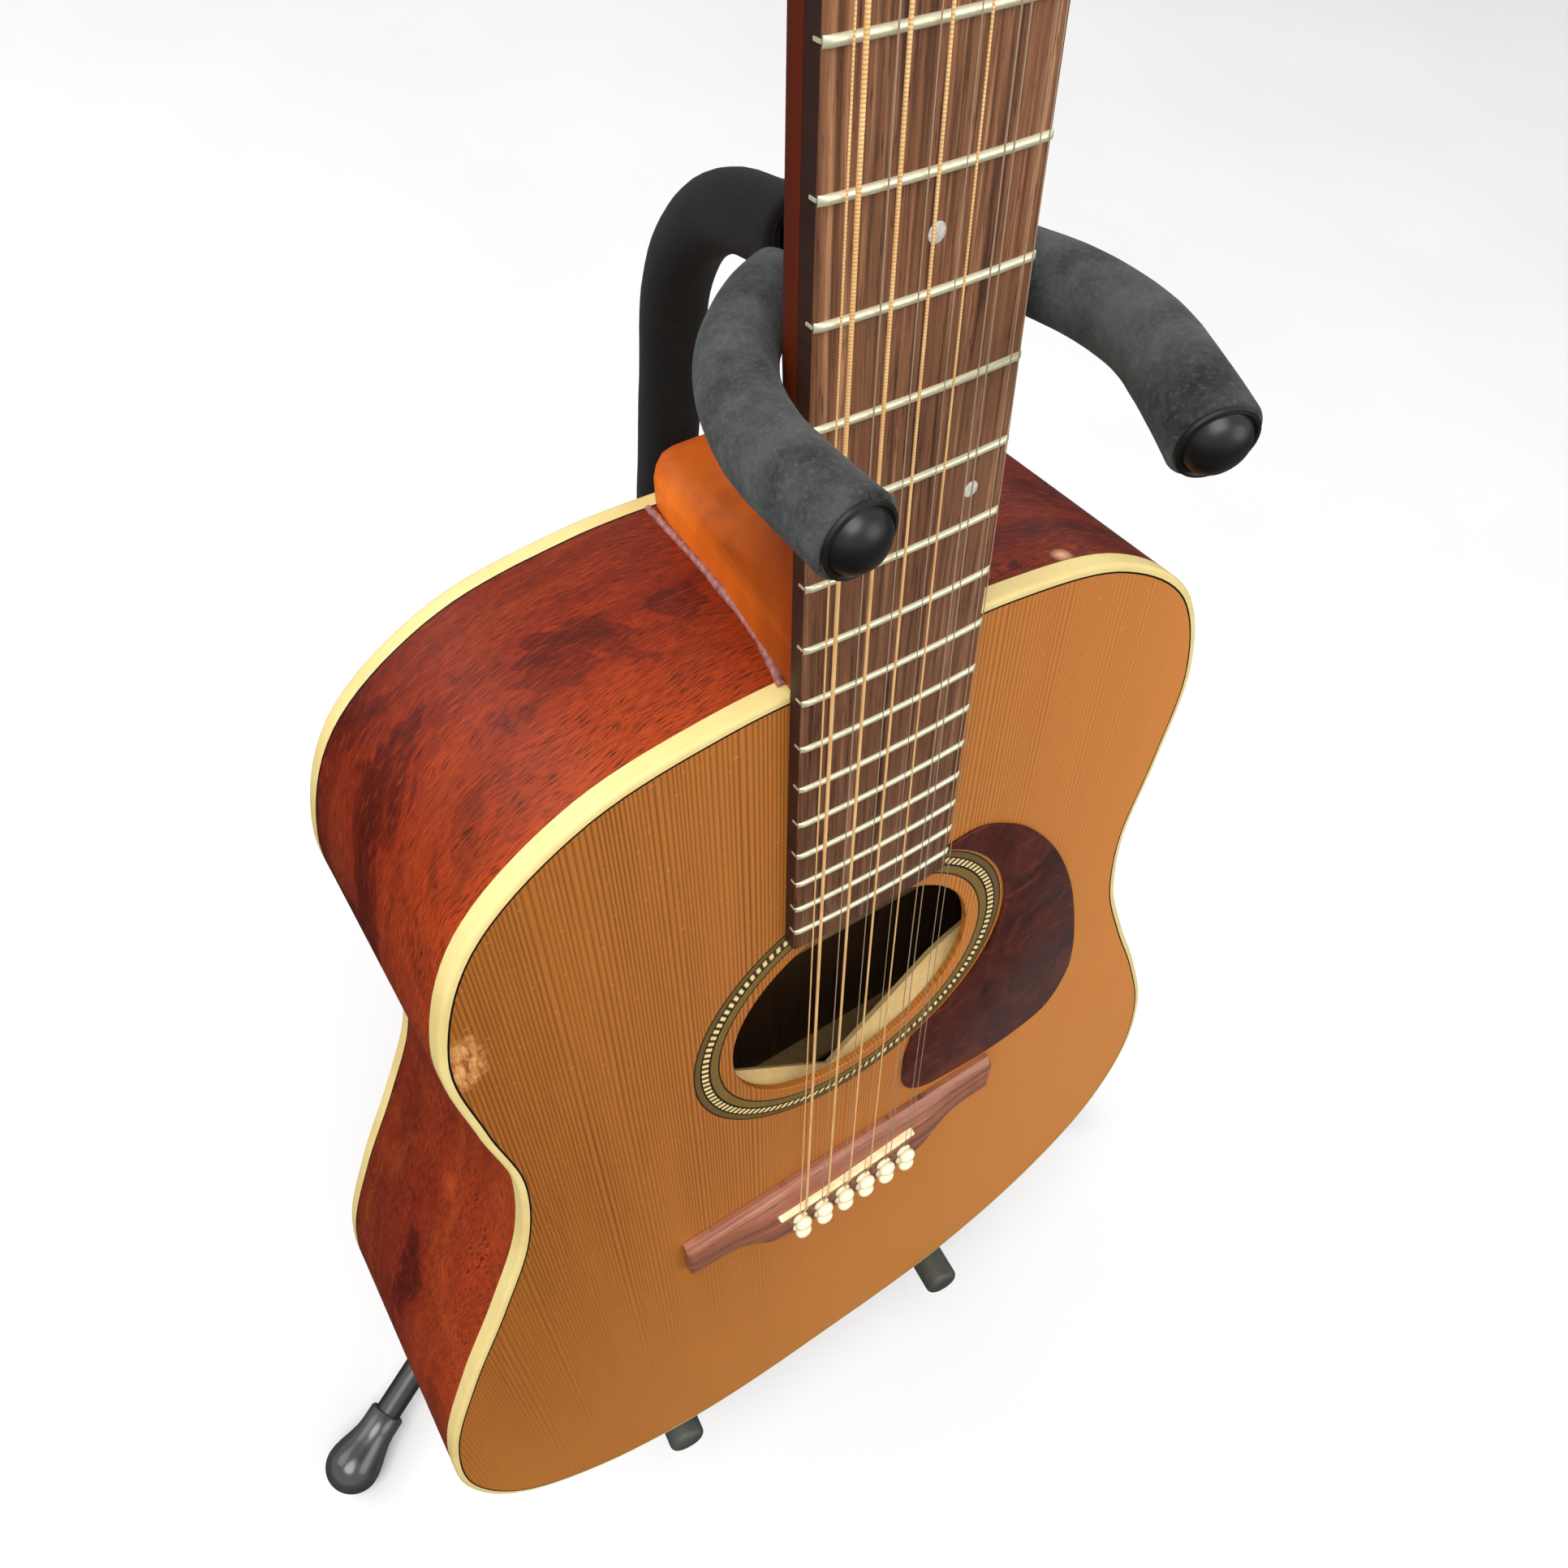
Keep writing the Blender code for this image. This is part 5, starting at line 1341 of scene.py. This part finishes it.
def make_cradle():
    at = STAND @ turn("Z", CRADLE_TURN)
    bend_x, bend_y = CRADLE_HALF - CRADLE_BEND, CRADLE_BACK - CRADLE_BEND
    arm = [(CRADLE_HALF, y) for y in np.linspace(CRADLE_TIP[0] + 8.0, bend_y - 4, 12)]
    arm += [(bend_x + CRADLE_BEND * c, bend_y + CRADLE_BEND * s) for c, s in quarter(14)]
    flat = arm + [(x, CRADLE_BACK) for x in np.linspace(36, -36, 8)] + [(-x, y) for x, y in reversed(arm)]
    build("cradle_tube", bar(level(flat, cradle_height), ROD_R, 28), "steel", 40.0, "stand_base", at,
          hide="cradle_frame", slot="black_steel")
    low = cradle_height(CRADLE_BACK) - BAND_TALL / 2
    high = low + BAND_TALL
    band = round_profile([(BASE_R + 0.3, low), (BAND_R, low), (BAND_R, high), (BASE_R + 0.3, high)])
    lathe("cradle_collar", band, 48, "steel", "stand_base", at)
    stem = [(-9, -24), (9, -24), (9, -11), (-9, -11)]
    build("cradle_bracket", prism(stem, low, high), "steel", 40.0, "stand_base", at, bevel=1.2)
    bolt = round_profile([(0.0, 0.0), (5.0, 0.0), (5.0, 3.2), (3.6, 4.4), (0.0, 4.6)], 0.5)
    lathe("cradle_bolt", bolt, 24, "zinc", "stand_base",
          at @ shift(0, 14.2, low + BAND_TALL / 2) @ turn("X", -90))
    across = Vector((1, 0, 0))
    heading = Vector((0, -1, math.tan(math.radians(CRADLE_SLOPE)))).normalized()
    up = heading.cross(across).normalized()
    for name, side in (("left", -1), ("right", 1)):
        tip = Vector((side * CRADLE_HALF, *CRADLE_TIP)) - heading * GRIP_SHIFT * side
        start = tip - heading * GRIP_LONG
        spots = [(0.0, ROD_R + 0.3), (0.0, PAD_R - 1.4), (0.4, PAD_R - 0.6), (1.4, PAD_R)]
        spots += [(float(d), PAD_R) for d in np.linspace(6.0, 142.0, 18)]
        rings = [(start + heading * d, r) for d, r in spots]
        rings += [(tip - heading * (GRIP_ROUND * (1 - s)), PAD_R - GRIP_ROUND * (1 - c))
                  for c, s in quarter(6)]
        rows = [[p + across * r * x + up * r * y for x, y in circle(1.0, 44)] for p, r in rings]
        build(f"cradle_grip_{name}", loft(rows), "rubber", 45.0, "stand_base", at, hide=f"cradle_pad_{name}",
              slot="rubber")


def make_base():
    low, high = BASE_Z
    tube = [(BASE_R, low), (BASE_R, high), (7.0, high), (7.0, low)]
    lathe("lower_tube", tube, 48, "steel", "stand_base", STAND, hide="base_tube", slot="black_steel",
          bevel=0.3)
    low, high = HUB_Z
    profile = round_profile([(BASE_R + 0.3, low), (HUB_R - 1, low), (HUB_R, low + 2), (HUB_R, high - 6),
                             (17.0, high), (BASE_R + 0.3, high)], 1.2)
    hub = lathe("hub_block", profile, 72, "black", "stand_base", STAND, hide="leg_hub", slot="gloss_black")
    bolt = round_profile([(0.0, 0.0), (4.4, 0.0), (4.4, 2.2), (3.0, 3.2), (0.0, 3.4)], 0.4)
    shank = [(0.0, -19.0), (2.4, -19.0), (2.4, 19.0), (0.0, 19.0)]
    opening = [(-6.5, -45), (6.5, -45), (6.5, -12.2), (-6.5, -12.2)]
    for name, degrees in LEG_ANGLES.items():
        at = STAND @ shift(0, 0, PIVOT_Z) @ turn("Z", degrees)
        cutter = raw_object("slot", *prism(opening, -40.0, 40.0))
        cutter.matrix_world = at
        cut(hub, cutter)
        for letter, side in (("a", -1), ("b", 1)):
            lathe(f"hub_bolt_{name}_{letter}", bolt, 24, "zinc", "stand_base",
                  at @ shift(side * 18.0, -PIVOT_R, 0) @ turn("Y", 90 * side))
        lathe(f"hub_axle_{name}", shank, 20, "zinc", "stand_base", at @ shift(0, -PIVOT_R, 0) @ turn("Y", 90))
        make_leg(name, at)


def make_leg(name, hub_at):
    run = Vector((0, -(FOOT_AT - PIVOT_R), FOOT_Z - PIVOT_Z))
    length = run.length
    at = hub_at @ shift(0, -PIVOT_R, 0) @ turn("X", -math.degrees(math.atan2(run.z, -run.y)))
    body = f"leg_{name}_arm"
    rows = []
    stations = [(-7.2, 0.5, 3.0), (-6.6, 6.0, 3.4), (-5.0, 6.0, 5.2), (-2.5, 6.0, 6.8), (0.0, 6.0, 7.2),
                (14.0, 6.0, 7.2), (20.0, 6.4, 7.6), (27.0, 7.6, 8.0)]
    stations += [(d, LEG_R, LEG_R) for d in (33.0, 60.0, 160.0, length - 20.0, length - 9.0)]
    for d, wide, tall in stations:
        power = 0.35 if d < 25 else 0.7 if d < 30 else 1.0
        rows.append([(x, -d, z) for x, z in oval(wide, tall, power, 32)])
    build(f"leg_tube_{name}", loft(rows), "steel", 40.0, body, at, hide=f"leg_{name}", slot="black_steel")
    profile = [(0.0, -7.0), (LEG_R + 0.1, -7.0), (LEG_R + 0.1, -34.0), (10.2, -34.0), (10.9, -33.2),
               (11.0, -24.0), (11.6, -19.0), (13.2, -13.5), (14.9, -8.5), (16.1, -4.0)]
    profile += [(FOOT_R * c, BOOT_TALL * s) for c, s in quarter(12)[:12]] + [(0.0, BOOT_TALL)]
    place = at @ toward((0, -length, 0), (0, -1, 0))
    boot = lathe(f"boot_{name}", profile, 64, "boot", body, place, smooth=60.0, hide=f"foot_{name}",
                 slot="rubber")
    flatten(boot)


def flatten(foot):
    """Presses whatever would reach under the floor up to it, as a boot's worn patch."""
    world = foot.matrix_world.copy()
    back = world.inverted()
    for vert in foot.data.vertices:
        point = world @ vert.co
        if point.z < FLOOR_GAP * MM:
            point.z = FLOOR_GAP * MM
            vert.co = back @ point


def make_collar():
    low, high = COLLAR_Z
    tube_top = BASE_Z[1]
    collar = round_profile([(BASE_R + 0.3, low), (13.2, low), (14.5, low + 3), (14.5, high - 4), (12.0, high),
                            (7.0, high), (7.0, tube_top + 0.6), (BASE_R + 0.3, tube_top + 0.3)], 0.7)
    lathe("height_collar", collar, 56, "black", "stand_base", STAND, hide="clamp_collar", slot="gloss_black")
    ribs = []
    for k in range(18):
        a = 2 * math.pi * k / 18 + 0.1
        if abs(math.sin(a) - 1) >= 0.4:
            spot = (14.4 * math.cos(a), 14.4 * math.sin(a))
            ribs.append(prism(circle(0.9, 10, spot), low + 4, high - 7))
    build("collar_ribs", merge(ribs), "black", 50.0, "stand_base", STAND)
    boss = round_profile([(3.4, 11.0), (8.0, 11.0), (7.4, 22.8), (3.4, 23.0)], 0.6)
    lathe("collar_boss_ring", boss, 40, "black", "stand_base", STAND @ shift(0, 0, KNOB_Z) @ turn("X", -90))
    profile = [(0.0, 0.0), (3.0, 0.0), (3.0, 14.6), (7.2, 15.0), (9.0, 16.2), (12.6, 18.6), (14.0, 20.6),
               (14.3, 24.0), (14.0, 27.6), (12.4, 29.8), (9.0, 31.0), (4.0, 31.4), (0.0, 31.4)]
    verts, faces = lathe_data(profile, 96)
    lobed = []
    for x, y, z in verts:
        dip = (0.5 - 0.5 * math.cos(8 * math.atan2(y, x))) ** 0.8
        lobe = 1.0 - 0.10 * dip * clamp((math.hypot(x, y) - 8.0) / 5.0)
        lobed.append((x * lobe, y * lobe, z))
    build("height_knob", (lobed, faces), "black", 50.0, "knob", at_joint("clamp_turn", turn("X", -90)),
          hide="clamp_knob", slot="gloss_black")


# ---------------------------------------------------------------- room, light, camera

def make_room():
    size = FLOOR_HALF
    corners = [(-size, -size, 0), (size, -size, 0), (size, size, 0), (-size, size, 0)]
    floor = raw_object("studio_floor", corners, [(0, 1, 2, 3)])
    floor.data.materials.append(floor_mat())
    floor.visible_glossy = False
    world = bpy.data.worlds.new("studio")
    world.use_nodes = True
    sky = Nodes(world.node_tree)
    x, _, z = sky.split(sky.node("ShaderNodeTexCoord").outputs["Generated"])
    glow = sky.ramp(sky.span(z, -1.0, 1.0, 0.0, 1.0), (0.0, 0.03), (0.47, 0.06), (0.5, 0.6), (0.53, 0.7),
                    (1.0, 0.7))
    patch = sky.times(sky.span(x, 0.15, 0.6, 0.0, 1.0), sky.span(z, -0.3, -0.65, 0.0, 1.0))
    sky.put(sky.mix(patch, glow, (0.2, 0.197, 0.192)), world.node_tree.nodes["Background"].inputs["Color"])
    bpy.context.scene.world = world
    lamp("key", (-0.9, -0.9, 3.6), (0.0, -0.15, 0.6), 2.6, 114.0)
    lamp("fill", (2.0, -2.6, 2.2), (0.0, -0.1, 0.6), 2.4, 42.0)
    lamp("rear", (-1.8, 1.8, 2.8), (0.0, 0.0, 0.7), 2.4, 36.0)
    bpy.context.scene.view_settings.view_transform = "Standard"


def lamp(name, place, target, size, power):
    data = bpy.data.lights.new(name, "AREA")
    data.shape = "DISK"
    data.size = size
    data.energy = power
    data.color = (1.0, 0.99, 0.975)
    obj = link(bpy.data.objects.new(name, data))
    obj.location = place
    obj.rotation_euler = (Vector(target) - Vector(place)).to_track_quat("-Z", "Y").to_euler()


def make_camera():
    """Just in front of the neck, looking down the strings; set in the guitar's frame."""
    right = Vector((0.834461, 0.000289, 0.551067))
    down = Vector((-0.412966, -0.661797, 0.625687))
    ahead = Vector((0.364876, -0.749683, -0.552124))
    pose = Matrix((right, -down, -ahead)).transposed().to_4x4()
    pose.translation = Vector((-148.26, -148.47, 179.43)) * MM
    focal, frame_wide = 1515.58, 1932.0
    data = bpy.data.cameras.new("view")
    data.sensor_width = 36.0
    data.lens = data.sensor_width * focal / frame_wide
    data.clip_start = 0.01
    camera = link(bpy.data.objects.new("view", data))
    camera.matrix_world = GUITAR @ pose
    bpy.context.scene.camera = camera


for make in (make_top, make_edges, make_sides, make_back, make_back_braces, make_top_braces, make_blocks,
             make_neck, make_headstock, make_board, make_frets, make_nut, make_bridge, make_saddle,
             make_pins, make_guard, make_strings, make_tuners, make_end_pin, make_mast, make_yoke,
             make_cradle, make_base, make_collar, make_room, make_camera):
    make()
